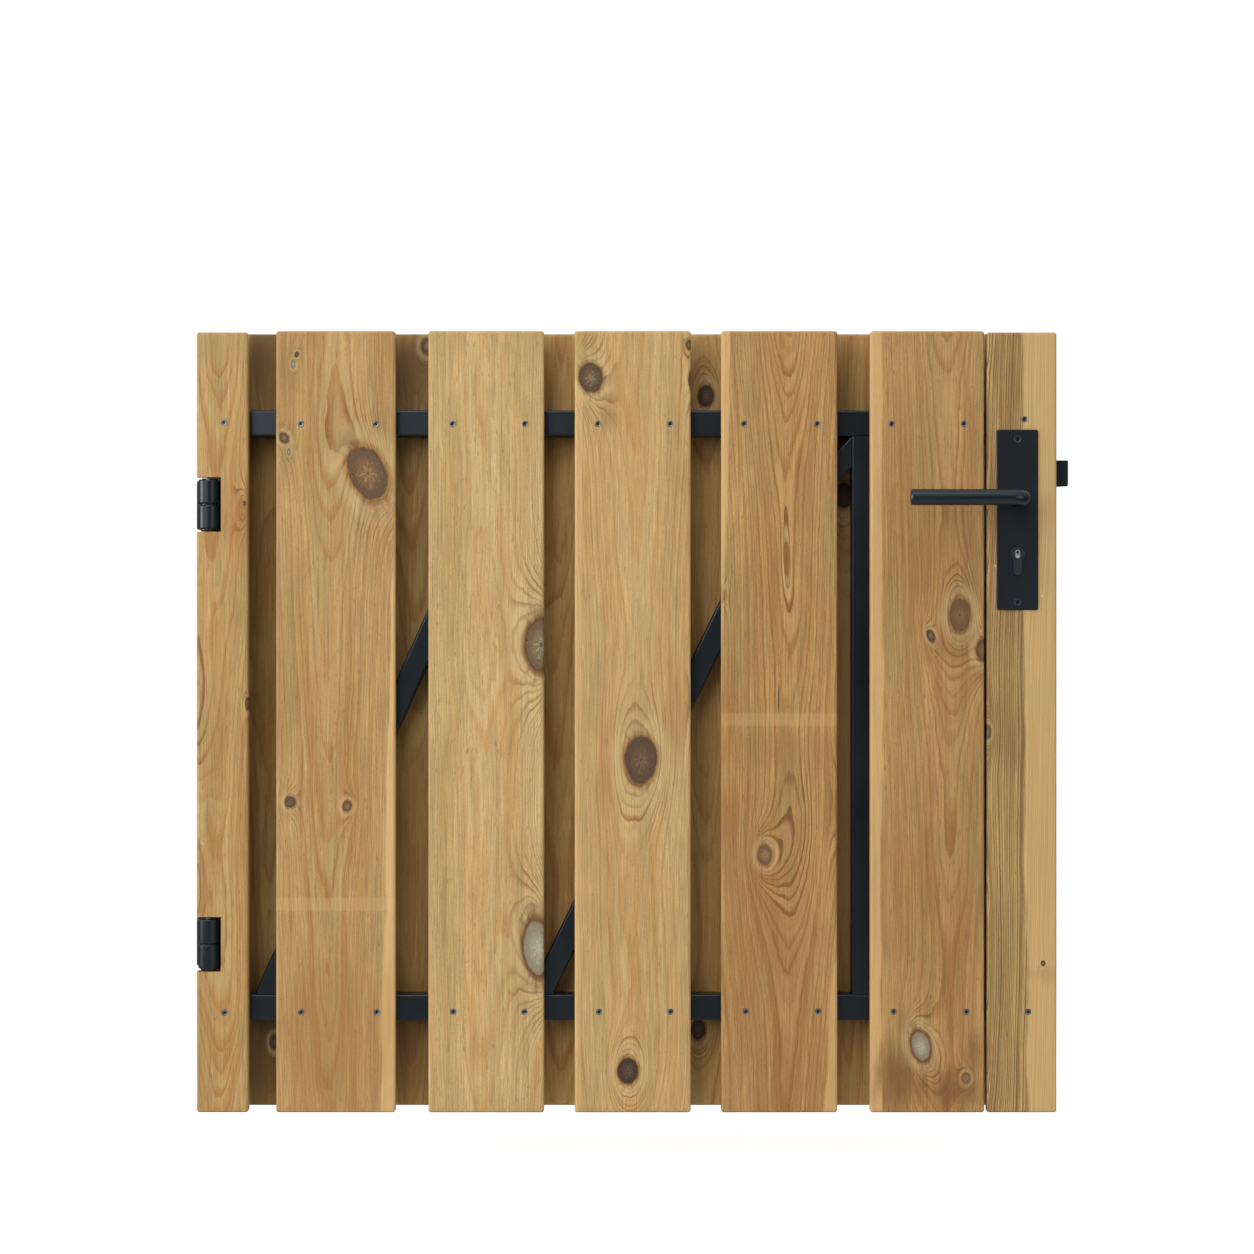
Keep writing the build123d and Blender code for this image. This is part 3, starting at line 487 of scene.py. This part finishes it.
def pine_material(node_name, board, seed, groups, settings):
    """Planed, impregnated pine: soft matt planks whose rings, knots and fibres show through."""
    field_group, knot_group, pine = groups
    material, add = new_material("planed_pine_" + node_name)
    low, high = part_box(node_name)
    random_place = random.Random(seed)
    middle = (high.x - low.x) / 2 / MM
    at = add("TexCoord")["Object"]
    at = add("VectorMath", (at, (low.x, low.y, low.z)), operation="SUBTRACT")[0]
    at = add("VectorMath", {0: at, "Scale": 1 / MM}, operation="SCALE")[0]
    flat = add("VectorMath", (at, (1.0, 0.0, 1.0)), operation="MULTIPLY")[0]
    noises = []
    for scale, detail, roughness in (((0.05, 0.05, 0.009), 3.0, 0.5),
                                     ((0.12, 0.12, 0.016), 3.0, 0.5), (FIBRE, 2.0, 0.7)):
        place = add("VectorMath", (at, scale), operation="MULTIPLY")[0]
        noises.append(add("TexNoise", {"Vector": place, "Scale": 1.0, "Detail": detail,
                                       "Roughness": roughness})[0])
    ragged, streaky, grooves = noises

    fields = []
    bent = {}
    for x, z, half_width, half_height, tilt, part, raised, _kind in board["knots"]:
        field = add("Group", {"Place": flat, "Centre": (x, 0.0, z), "Half Width": half_width,
                              "Half Height": half_height, "Tilt": math.radians(tilt), "Part": part,
                              "Lift": raised}, node_tree=field_group)
        fields.append(field)
        for name, operation in (("Shift", "ADD"), ("Lift", "ADD"), ("Near", "MAXIMUM")):
            both = (bent[name], field[name]) if name in bent else None
            bent[name] = add("Math", both, operation=operation)[0] if both else field[name]
    seeds = [random_place.uniform(-SEED_REACH, SEED_REACH) for _ in range(3)]
    wood = add("Group", {"Place": at, "Seed": seeds,
                         "Pith": (middle + board["pith"][0], board["pith"][1], 0.0),
                         "Taper": board["taper"], "Ring": board["ring"] * settings.ring_scale,
                         "Wander": board["wander"], **bent,
                         "Contrast": board["contrast"], "Early": linear(board["tone"]),
                         "Amber": linear(board["amber"]),
                         "Side": linear(board["side"]) if "side" in board else settings.side_lines,
                         "Drift": board.get("drift", USUAL_DRIFT)}, node_tree=pine)
    colour = wood["Colour"]

    # Pale sapwood along an edge, pale marks left by stacking laths, drifts of darker stain, and on
    # the back boards painted shade at the top and foot and a painted lighter strip.
    xyz = add("SeparateXYZ", (at,))
    ragged = add("Math", (ragged, 0.5), operation="SUBTRACT")[0]
    layers = []
    for side, foot, top, strength in board.get("sap", ()):
        place = add("Math", (xyz["Z"], (foot - top) / BOARD_HEIGHT, xyz["X"]),
                    operation="MULTIPLY_ADD")[0]
        place = add("Math", (ragged, SAP_RAGGED, place), operation="MULTIPLY_ADD")[0]
        amount = add("MapRange", span(place, foot - side * 1.5, foot + side * 1.5, 0.0, strength),
                     **SMOOTH)[0]
        layers.append((amount, settings.sapwood))
    for first, last in board.get("bands", ()):
        place = add("Math", (ragged, BAND_RAGGED, xyz["Z"]), operation="MULTIPLY_ADD")[0]
        rise = add("MapRange", span(place, first, first + BAND_EDGE, 0.0, BAND_STRENGTH),
                   **SMOOTH)[0]
        fall = add("MapRange", span(place, last, last + BAND_EDGE, 1.0, 0.0), **SMOOTH)[0]
        layers.append((add("Math", (rise, fall), operation="MULTIPLY")[0], settings.sapwood))
    for x, z, half_width, half_height, strength, tint in board.get("shades", ()):
        place = add("VectorMath", (flat, (x, 0.0, z)), operation="SUBTRACT")[0]
        place = add("VectorMath", (place, (1 / half_width, 0.0, 1 / half_height)),
                    operation="MULTIPLY")[0]
        place = add("VectorMath", (place,), operation="LENGTH")["Value"]
        place = add("Math", (streaky, 1.4, place), operation="MULTIPLY_ADD")[0]
        amount = add("MapRange", span(place, 0.9, 1.9, strength, 0.0), **SMOOTH)[0]
        layers.append((amount, linear(tint)))
    for amount, tint in layers:
        colour = add("Mix", {"Factor": amount, "A": colour, "B": tint}, **COLOURS)["Result"]

    nearest = {}
    for (*_, kind), field in zip(board["knots"], fields):
        *tints, solid, stain = KNOT_KINDS[kind]
        if solid == 0 and stain == 0:
            continue
        knot = {name: field[name] for name in ("Distance", "Across", "Along")}
        knot |= {"Solid": solid, "Stain": stain, **dict(zip(KNOT_COLOURS, map(linear, tints)))}
        if nearest:
            closer = add("Math", (knot["Distance"], nearest["Distance"]), operation="LESS_THAN")[0]
            for name, value in knot.items():
                data_type = "RGBA" if name in KNOT_COLOURS else "FLOAT"
                knot[name] = add("Mix", {"Factor": closer, "A": nearest[name], "B": value},
                                 data_type=data_type)["Result"]
        nearest = knot
    knot = add("Group", {"Colour": colour, **nearest}, node_tree=knot_group)
    colour, core = knot["Colour"], knot["Core"]

    # End grain drinks more of the preservative and is darker.
    facing = add("NewGeometry")["Normal"]
    facing = add("SeparateXYZ", (facing,))["Z"]
    facing = add("Math", (facing,), operation="ABSOLUTE")[0]
    facing = add("MapRange", span(facing, 0.5, 0.95, 0.0, 0.5))[0]
    colour = add("Mix", {"Factor": facing, "A": colour, "B": settings.end_grain},
                 **COLOURS)["Result"]

    bump = add("Bump", {"Height": grooves, "Distance": 0.12 * MM, "Strength": 0.6})[0]
    roughness = add("MapRange", span(wood["Late"], 0.0, 1.0, 0.68, 0.56))[0]
    roughness = add("Math", (core, -0.08, roughness), operation="MULTIPLY_ADD")[0]
    shader = add("BsdfPrincipled", {"Base Color": colour, "Roughness": roughness, "Normal": bump,
                                    "Specular IOR Level": 0.3})[0]
    add("OutputMaterial", {"Surface": shader})
    return material


class GardenDoorPine(bpy.types.PropertyGroup):
    side_lines: bpy.props.FloatVectorProperty(
        name="Side lines", description="Greyer brown of the close lines near a board's edges",
        subtype="COLOR", size=4, min=0, max=1, default=linear("8E6C3E"))
    sapwood: bpy.props.FloatVectorProperty(
        name="Sapwood", description="Pale strips and lath marks",
        subtype="COLOR", size=4, min=0, max=1, default=linear("DAB47A"))
    end_grain: bpy.props.FloatVectorProperty(
        name="End grain", description="Darker wood on the sawn ends",
        subtype="COLOR", size=4, min=0, max=1, default=linear("8A6236"))
    ring_scale: bpy.props.FloatProperty(
        name="Ring scale", description="Widens or narrows the growth rings", default=1.0,
        min=0.5, max=2.0, subtype="FACTOR")


class GardenDoorSteel(bpy.types.PropertyGroup):
    coat: bpy.props.FloatVectorProperty(
        name="Powder coat", description="Colour of the tube frame", subtype="COLOR", size=4,
        min=0, max=1, default=linear("080F14"))
    fitting: bpy.props.FloatVectorProperty(
        name="Fittings", description="Colour of the hinges, lock plates and levers",
        subtype="COLOR", size=4, min=0, max=1, default=linear("090F13"))
    zinc: bpy.props.FloatVectorProperty(
        name="Zinc", description="Colour of the plated screws", subtype="COLOR", size=4,
        min=0, max=1, default=linear("6C767C"))


class GardenDoorScrews(bpy.types.PropertyGroup):
    board_head: bpy.props.FloatProperty(
        name="Board screw head", description="Radius of a board screw's head", default=3.45 * MM,
        min=0.002, max=0.006, subtype="DISTANCE", unit="LENGTH")
    board_screw_sink: bpy.props.FloatProperty(
        name="Screw sink", description="How far a board screw's head lies below the board's face",
        default=0.15 * MM, min=0, max=0.002, subtype="DISTANCE", unit="LENGTH")
    plate_head: bpy.props.FloatProperty(
        name="Plate screw head", description="Radius of a lock plate screw's head",
        default=4.5 * MM, min=0.002, max=0.008, subtype="DISTANCE", unit="LENGTH")


class GardenDoorStage(bpy.types.PropertyGroup):
    floor_drop: bpy.props.FloatProperty(
        name="Floor drop", description="How far the floor lies below the hung door",
        default=60 * MM, min=0, max=0.5, subtype="DISTANCE", unit="LENGTH")
    camera_distance: bpy.props.FloatProperty(
        name="Camera distance", description="From the front of the boards to the camera",
        default=3.5, min=1, max=10, subtype="DISTANCE", unit="LENGTH")
    lens: bpy.props.FloatProperty(
        name="Lens", description="Focal length", default=87.27, min=20, max=200,
        subtype="DISTANCE_CAMERA")


def powder_coat(name, colour, roughness, grain, sheen="DDE9F2", level=0.5):
    """Fine-textured polyester powder on steel: satin black with a faint pebbled skin."""
    material, add = new_material(name)
    at = add("TexCoord")["Object"]
    skin = add("TexNoise", {"Vector": at, "Scale": 1 / grain, "Detail": 2.0})[0]
    cloud = add("TexNoise", {"Vector": at, "Scale": 14.0, "Detail": 3.0})[0]
    shade = add("MapRange", span(cloud, 0.3, 0.7, 0.9, 1.12))[0]
    tint = add("VectorMath", {0: colour[:3], "Scale": shade}, operation="SCALE")[0]
    gloss = add("MapRange", span(cloud, 0.3, 0.7, roughness - 0.04, roughness + 0.05))[0]
    bump = add("Bump", {"Height": skin, "Distance": 0.05 * MM, "Strength": 0.5})[0]
    shader = add("BsdfPrincipled", {"Base Color": tint, "Roughness": gloss, "Normal": bump,
                                    "Specular IOR Level": level, "Specular Tint": linear(sheen)})[0]
    add("OutputMaterial", {"Surface": shader})
    return material


def plated_metal(name, colour, roughness, streaks, painted_keyway_shade=None):
    """Turned or rolled steel with a thin bright plating: a metal with fine tool marks.

    The last argument, as (y, z), paints shade on what lies further from the plane y than a
    keyhole's lip, above z: the keyway's dark inside is painted shade.
    """
    material, add = new_material(name)
    at = add("TexCoord")["Object"]
    marks = add("VectorMath", (at, streaks), operation="MULTIPLY")[0]
    marks = add("TexNoise", {"Vector": marks, "Scale": 1.0, "Detail": 3.0})[0]
    cloud = add("TexNoise", {"Vector": at, "Scale": 180.0, "Detail": 3.0})[0]
    shade = add("MapRange", span(cloud, 0.3, 0.7, 0.78, 1.1))[0]
    tint = add("VectorMath", {0: colour[:3], "Scale": shade}, operation="SCALE")[0]
    # Painted shade: deep inside the keyway the plating turns near black.
    if painted_keyway_shade:
        face, low_end = painted_keyway_shade
        xyz = add("SeparateXYZ", (at,))
        painted_shade = add("Math", (xyz["Y"], face), operation="SUBTRACT")[0]
        painted_shade = add("Math", (painted_shade,), operation="ABSOLUTE")[0]
        painted_shade = add("MapRange", span(painted_shade, 0.1 * MM, 0.5 * MM))[0]
        upper = add("Math", (xyz["Z"], low_end), operation="GREATER_THAN")[0]
        painted_shade = add("Math", (painted_shade, upper), operation="MULTIPLY")[0]
        tint = add("Mix", {"Factor": painted_shade, "A": tint, "B": linear("15120F")}, **COLOURS)["Result"]
    gloss = add("MapRange", span(marks, 0.3, 0.7, roughness - 0.08, roughness + 0.08))[0]
    bump = add("Bump", {"Height": marks, "Distance": 0.02 * MM, "Strength": 0.4})[0]
    shader = add("BsdfPrincipled", {"Base Color": tint, "Metallic": 1.0, "Roughness": gloss,
                                    "Normal": bump})[0]
    add("OutputMaterial", {"Surface": shader})
    return material


# a screw head's sides, how much it may lean, and how deep its socket's lobes are cut
HEAD_SEGMENTS = 36
HEAD_LEAN = 0.03
LOBE_DEPTH = 0.14


def screw_mesh(name, places, head, thickness, socket, lobes, seed):
    """Screw heads, joined in one mesh: a dished disc with rounded rim and a lobed socket."""
    mesh_maker = bmesh.new()
    turned = random.Random(seed)
    for place, outward in places:
        facing = Vector(outward).to_track_quat("Z", "Y")
        turn = turned.uniform(0, math.tau)
        lean = [turned.uniform(-HEAD_LEAN, HEAD_LEAN) for _ in range(2)]
        rings = []

        def ring(radius_at, height):
            points = []
            for i in range(HEAD_SEGMENTS):
                angle = math.tau * i / HEAD_SEGMENTS
                radius = radius_at(angle)
                x, y = radius * math.cos(angle + turn), radius * math.sin(angle + turn)
                local = Vector((x, y, height + lean[0] * x + lean[1] * y))
                points.append(mesh_maker.verts.new(place + facing @ local))
            rings.append(points)

        def lobed(angle):
            return socket * (1 + LOBE_DEPTH * math.cos(lobes * angle))

        for share, height in ((0.9, -thickness), (1, -thickness * 0.4), (0.96, -0.02 * head),
                              (0.86, 0), (0.7, -0.05 * head)):
            ring(lambda angle: head * share, height)
        ring(lobed, -0.08 * head)
        ring(lambda angle: lobed(angle) * 0.97, -thickness * 0.94)
        # The socket's wall and floor take the second material: painted shade inside the hole.
        for level, (outer, inner) in enumerate(zip(rings, rings[1:])):
            for i in range(HEAD_SEGMENTS):
                j = (i + 1) % HEAD_SEGMENTS
                face = mesh_maker.faces.new((outer[i], outer[j], inner[j], inner[i]))
                face.material_index = 1 if level == len(rings) - 2 else 0
        mesh_maker.faces.new(rings[-1]).material_index = 1
        mesh_maker.faces.new(rings[0][::-1])
    bmesh.ops.recalc_face_normals(mesh_maker, faces=mesh_maker.faces)
    mesh = bpy.data.meshes.new(name)
    mesh_maker.to_mesh(mesh)
    mesh_maker.free()
    return mesh


ROWS = ("lower", "upper")
BOARD_SCREWS = (
    # for each row of a front board, in mm: how far above the rail's middle and where from the
    # board's left edge
    ((-3.9, 32.2), (-0.6, 31.6)),
    ((-3.2, 29.1, 116.1), (-2.0, 28.8, 115.2)),
    ((-2.8, 28.7, 110.8), (-2.0, 28.1, 111.5)),
    ((-2.8, 28.0, 110.4), (-2.0, 26.7, 110.0)),
    ((-2.4, 28.1, 111.5), (-2.0, 26.2, 110.4)),
    ((-2.8, 26.9, 110.7), (-2.0, 24.6, 107.7)),
    ((-2.8, 47.5), (3.4, 43.2)),
)
BACK_SCREWS = (-2.8, -2.0)
BACK_SCREW_INSET = 24 * MM
RECESS_DEPTH = 1 * MM
BOARD_SOCKET = 1.45 * MM
# a lock plate's bolts: heights above its foot in mm, and a head's thickness and socket radius
PLATE_BOLTS = (9.2, 196.7)
PLATE_BOLT_SINK = 0.25 * MM
PLATE_BOLT = (0.5 * MM, 2.5 * MM)
FACEPLATE_SCREW_END = 10 * MM
FACEPLATE_SCREW_SINK = 0.15 * MM
# a faceplate screw's head radius, thickness and socket radius
FACEPLATE_SCREW = (3.3 * MM, 0.8 * MM, 1.5 * MM)
KEYWAY_FOOT = 2.8 * MM


def rail_height(row):
    """The middle of the rail that a row of screws goes into."""
    low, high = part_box({"lower": "bottom_rail", "upper": "top_rail"}[row])
    return (low.z + high.z) / 2


class GARDENDOOR_OT_boards(bpy.types.Operator):
    """Grows the pine of every board, with its own rings and knots"""
    bl_idname = "gardendoor.boards"
    bl_label = "Pine boards"

    def execute(self, context):
        settings = context.scene.garden_door_pine
        groups = (knot_field_group(), knot_wood_group(), pine_group())
        for side, boards, first_seed in (("front", FRONT_PINE, 1), ("back", BACK_PINE, 41)):
            for index, board in enumerate(boards):
                node_name = f"{side}_board_{index + 1}"
                pine = pine_material(node_name, board, first_seed + index, groups, settings)
                dress(pine, node_name)
        return {"FINISHED"}


class GARDENDOOR_OT_frame(bpy.types.Operator):
    """Powder-coats the tube frame and its braces"""
    bl_idname = "gardendoor.frame"
    bl_label = "Tube frame"

    def execute(self, context):
        steel = context.scene.garden_door_steel
        coat = powder_coat("black_powder_coat", steel.coat, 0.34, 0.9 * MM)
        dress(coat, "hinge_stile", "lock_stile", "inner_stile", "top_rail", "bottom_rail",
              "long_brace_left", "long_brace_right", "corner_brace")
        return {"FINISHED"}


class GARDENDOOR_OT_hinges(bpy.types.Operator):
    """Finishes the two barrel hinges"""
    bl_idname = "gardendoor.hinges"
    bl_label = "Barrel hinges"

    def execute(self, context):
        steel = context.scene.garden_door_steel
        coat = powder_coat("hinge_powder_coat", steel.fitting, 0.34, 0.7 * MM)
        bare = plated_metal("turned_steel_pin", linear("6C7276"), 0.32, (200.0, 200.0, 3000.0))
        for place in ("upper", "lower"):
            dress(coat, *(f"{place}_hinge_{part}" for part in ("door_half", "post_half", "washer")))
            dress(bare, f"{place}_hinge_pin")
        return {"FINISHED"}


class GARDENDOOR_OT_lock(bpy.types.Operator):
    """Finishes the lock, its plates, levers and bolts"""
    bl_idname = "gardendoor.lock"
    bl_label = "Lock and levers"

    def execute(self, context):
        steel = context.scene.garden_door_steel
        plate = powder_coat("lock_plate_powder_coat", steel.fitting, 0.4, 0.6 * MM)
        lever = powder_coat("lever_powder_coat", linear("0D161B"), 0.34, 0.6 * MM, "D6E7F0", 0.65)
        cylinder = powder_coat("cylinder_powder_coat", linear("20272B"), 0.38, 0.5 * MM)
        bare = plated_metal("zinc_plated_lock_steel", linear("A9AEB0"), 0.38,
                            (300.0, 300.0, 2500.0))
        dress(plate, "front_lock_plate", "back_lock_plate", "latch_bolt")
        dress(cylinder, "lock_cylinder")
        dress(lever, "front_lever", "back_lever")
        dress(bare, "lock_case", "lock_faceplate", "deadbolt", "lever_spindle")
        for node_name in ("front_key_plug", "back_key_plug"):
            low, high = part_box(node_name)
            face = low.y if node_name == "front_key_plug" else high.y
            nickel = plated_metal("satin_nickel_" + node_name, linear("E4E2DA"), 0.35,
                                  (900.0, 900.0, 900.0), (face, low.z + KEYWAY_FOOT))
            dress(nickel, node_name)
        return {"FINISHED"}


class GARDENDOOR_OT_screws(bpy.types.Operator):
    """Drives the board screws and the lock plate screws"""
    bl_idname = "gardendoor.screws"
    bl_label = "Screws"

    def execute(self, context):
        sizes = context.scene.garden_door_screws
        steel = context.scene.garden_door_steel
        zinc = plated_metal("zinc_plated_screw", steel.zinc, 0.36, (1500.0, 1500.0, 1500.0))
        # Painted shade: the sockets of the screws and bolts are near black with little gloss,
        # darker than their steel.
        socket_painted_shade = powder_coat("painted_socket_shade", linear("08090A"), 0.7, 0.5 * MM, level=0.2)
        front, back = [], []
        sink = sizes.board_screw_sink
        for board, rows in enumerate(BOARD_SCREWS, 1):
            low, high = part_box(f"front_board_{board}")
            for row, (rise, *offsets) in zip(ROWS, rows):
                z = rail_height(row) + rise * MM
                front += [(Vector((low.x + x * MM, low.y + sink, z)), (0, -1, 0)) for x in offsets]
        for board in range(1, len(BACK_PINE) + 1):
            low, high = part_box(f"back_board_{board}")
            for row, rise in zip(ROWS, BACK_SCREWS):
                z = rail_height(row) + rise * MM
                back += [(Vector((x, high.y - sink, z)), (0, 1, 0))
                         for x in (low.x + BACK_SCREW_INSET, high.x - BACK_SCREW_INSET)]
        thickness = RECESS_DEPTH - sink
        for name, places in (("front_board_screws", front), ("back_board_screws", back)):
            mesh = screw_mesh(name, places, sizes.board_head, thickness, BOARD_SOCKET, 6, 7)
            piece = add_piece(name, mesh, (zinc, socket_painted_shade), DOOR_BODY)
        self.lock_screws(sizes, socket_painted_shade)
        return {"FINISHED"}

    def lock_screws(self, sizes, socket_painted_shade):
        """Two bolts in each lock plate and two small screws in the faceplate."""
        black = powder_coat("blackened_bolt", linear("293237"), 0.36, 0.5 * MM)
        bright = plated_metal("faceplate_screw", linear("9AA0A2"), 0.3, (1500.0, 1500.0, 1500.0))
        for side, sign in (("front", -1), ("back", 1)):
            low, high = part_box(f"{side}_lock_plate")
            face = low.y if sign < 0 else high.y
            middle = (low.x + high.x) / 2
            places = [(Vector((middle, face - sign * PLATE_BOLT_SINK, low.z + rise * MM)),
                       (0, sign, 0)) for rise in PLATE_BOLTS]
            mesh = screw_mesh(f"{side}_plate_bolts", places, sizes.plate_head, *PLATE_BOLT, 6, 11)
            piece = add_piece(f"{side}_plate_bolts", mesh, (black, socket_painted_shade), DOOR_BODY)
        low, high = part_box("lock_faceplate")
        places = [(Vector((high.x - FACEPLATE_SCREW_SINK, (low.y + high.y) / 2, z)), (1, 0, 0))
                  for z in (low.z + FACEPLATE_SCREW_END, high.z - FACEPLATE_SCREW_END)]
        mesh = screw_mesh("faceplate_screws", places, *FACEPLATE_SCREW, 4, 5)
        piece = add_piece("faceplate_screws", mesh, (bright, socket_painted_shade), DOOR_BODY)


# the camera's place from the foot of the first board's outer edge
CAMERA_ACROSS = 495.6 * MM
CAMERA_HEIGHT = 559.2 * MM
SENSOR_WIDTH = 36.0
FLOOR_RADIUS = 2.0
SOFTBOXES = (
    # name, place from the door's middle, side and power
    ("key_softbox", (-1.5, -2.5, 1.2), 1.9, 44.0),
    ("top_softbox", (-0.2, -1.5, 2.1), 1.1, 16.0),
    ("left_softbox", (-3.0, -0.7, 0.4), 1.4, 50.0),
    ("fill_softbox", (2.6, -2.4, 0.3), 1.8, 18.0),
    ("back_softbox", (1.2, 3.2, 1.6), 1.6, 38.0),
)


class GARDENDOOR_OT_stage(bpy.types.Operator):
    """Sets the pale floor, the lamps and the camera"""
    bl_idname = "gardendoor.stage"
    bl_label = "Stage"

    def execute(self, context):
        stage = context.scene.garden_door_stage
        scene = context.scene
        low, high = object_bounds()
        middle = (low + high) / 2
        self.floor(stage, low, middle)
        self.lamps(middle)
        self.world(scene)
        board_low, _board_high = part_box("front_board_1")
        camera_data = bpy.data.cameras.new("door_camera")
        camera_data.lens = stage.lens
        camera_data.sensor_width = SENSOR_WIDTH
        camera = new_object("door_camera", camera_data)
        camera.location = (board_low.x + CAMERA_ACROSS, board_low.y - stage.camera_distance,
                           board_low.z + CAMERA_HEIGHT)
        camera.rotation_euler = (math.radians(90), 0, 0)
        scene.camera = camera
        scene.view_settings.view_transform = "Standard"
        return {"FINISHED"}

    def floor(self, stage, low, middle):
        """A pale round floor that keeps the shadow and fades into the white behind it."""
        material, add = new_material("pale_floor")
        at = add("TexCoord")["Object"]
        distance = add("VectorMath", (at,), operation="LENGTH")["Value"]
        fade = add("MapRange", span(distance, 0.7, 1.9), **SMOOTH)[0]
        matt = add("BsdfDiffuse", {"Color": linear("C8C8C8")})[0]
        seen = add("LightPath")["Is Camera Ray"]
        lift = add("Math", (seen, 0.6), operation="MULTIPLY")[0]
        glow = add("Emission", {"Color": linear("FFFFFF"), "Strength": lift})[0]
        matt = add("AddShader", (matt, glow))[0]
        clear = add("BsdfTransparent")[0]
        both = add("MixShader", (fade, matt, clear))[0]
        add("OutputMaterial", {"Surface": both})
        mesh = bpy.data.meshes.new("floor")
        mesh_maker = bmesh.new()
        bmesh.ops.create_circle(mesh_maker, cap_ends=True, segments=96, radius=FLOOR_RADIUS)
        mesh_maker.to_mesh(mesh)
        mesh_maker.free()
        mesh.materials.append(material)
        floor = new_object("floor", mesh)
        floor.location = (middle.x, middle.y, low.z - stage.floor_drop)
        floor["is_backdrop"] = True

    def lamps(self, middle):
        """Big soft boxes: the brightest up in front, others from the left, the right and behind."""
        for name, offset, size, power in SOFTBOXES:
            lamp = bpy.data.lights.new(name, "AREA")
            lamp.shape = "SQUARE"
            lamp.size = size
            lamp.energy = power
            light = new_object(name, lamp)
            light.location = middle + Vector(offset)
            light.rotation_euler = (-Vector(offset)).to_track_quat("-Z", "Y").to_euler()

    def world(self, scene):
        """Soft light from all round, brighter from above; the camera sees plain white."""
        scene.world = bpy.data.worlds.new("studio")
        scene.world.use_nodes = True
        scene.world.node_tree.nodes.clear()
        add = functools.partial(put, scene.world.node_tree)
        path = add("LightPath")
        up = add("TexCoord")["Generated"]
        up = add("SeparateXYZ", (up,))["Z"]
        up = add("MapRange", span(up, 0.0, 1.0, 0.12, 1.05))[0]
        soft = add("Background", {"Color": linear("F4F7FA"), "Strength": up})[0]
        white = add("Background", {"Color": linear("FFFFFF"), "Strength": 1.0})[0]
        both = add("MixShader", (path["Is Camera Ray"], soft, white))[0]
        add("OutputWorld", {"Surface": both})


class GARDENDOOR_PT_panel(bpy.types.Panel):
    """Lists the door's steps in the sidebar"""
    bl_idname = "GARDENDOOR_PT_panel"
    bl_label = "Garden Door"
    bl_space_type = "VIEW_3D"
    bl_region_type = "UI"
    bl_category = "Garden Door"

    def draw(self, context):
        for settings in GROUPS:
            group = getattr(context.scene, settings)
            box = self.layout.box()
            for name in group.__annotations__:
                box.prop(group, name)
        for step in STEPS:
            self.layout.operator(step.bl_idname)


STEPS = (GARDENDOOR_OT_boards, GARDENDOOR_OT_frame, GARDENDOOR_OT_hinges, GARDENDOOR_OT_lock,
         GARDENDOOR_OT_screws, GARDENDOOR_OT_stage)
GROUPS = {
    "garden_door_pine": GardenDoorPine,
    "garden_door_steel": GardenDoorSteel,
    "garden_door_screws": GardenDoorScrews,
    "garden_door_stage": GardenDoorStage,
}


def register():
    for group in GROUPS.values():
        bpy.utils.register_class(group)
    for name, group in GROUPS.items():
        setattr(bpy.types.Scene, name, bpy.props.PointerProperty(type=group))
    for step in STEPS:
        bpy.utils.register_class(step)
    bpy.utils.register_class(GARDENDOOR_PT_panel)


def unregister():
    bpy.utils.unregister_class(GARDENDOOR_PT_panel)
    for step in reversed(STEPS):
        bpy.utils.unregister_class(step)
    for name in GROUPS:
        delattr(bpy.types.Scene, name)
    for group in reversed(list(GROUPS.values())):
        bpy.utils.unregister_class(group)


def main():
    register()
    bpy.ops.gardendoor.boards()
    bpy.ops.gardendoor.frame()
    bpy.ops.gardendoor.hinges()
    bpy.ops.gardendoor.lock()
    bpy.ops.gardendoor.screws()
    bpy.ops.gardendoor.stage()


if __name__ == "__main__":
    main()
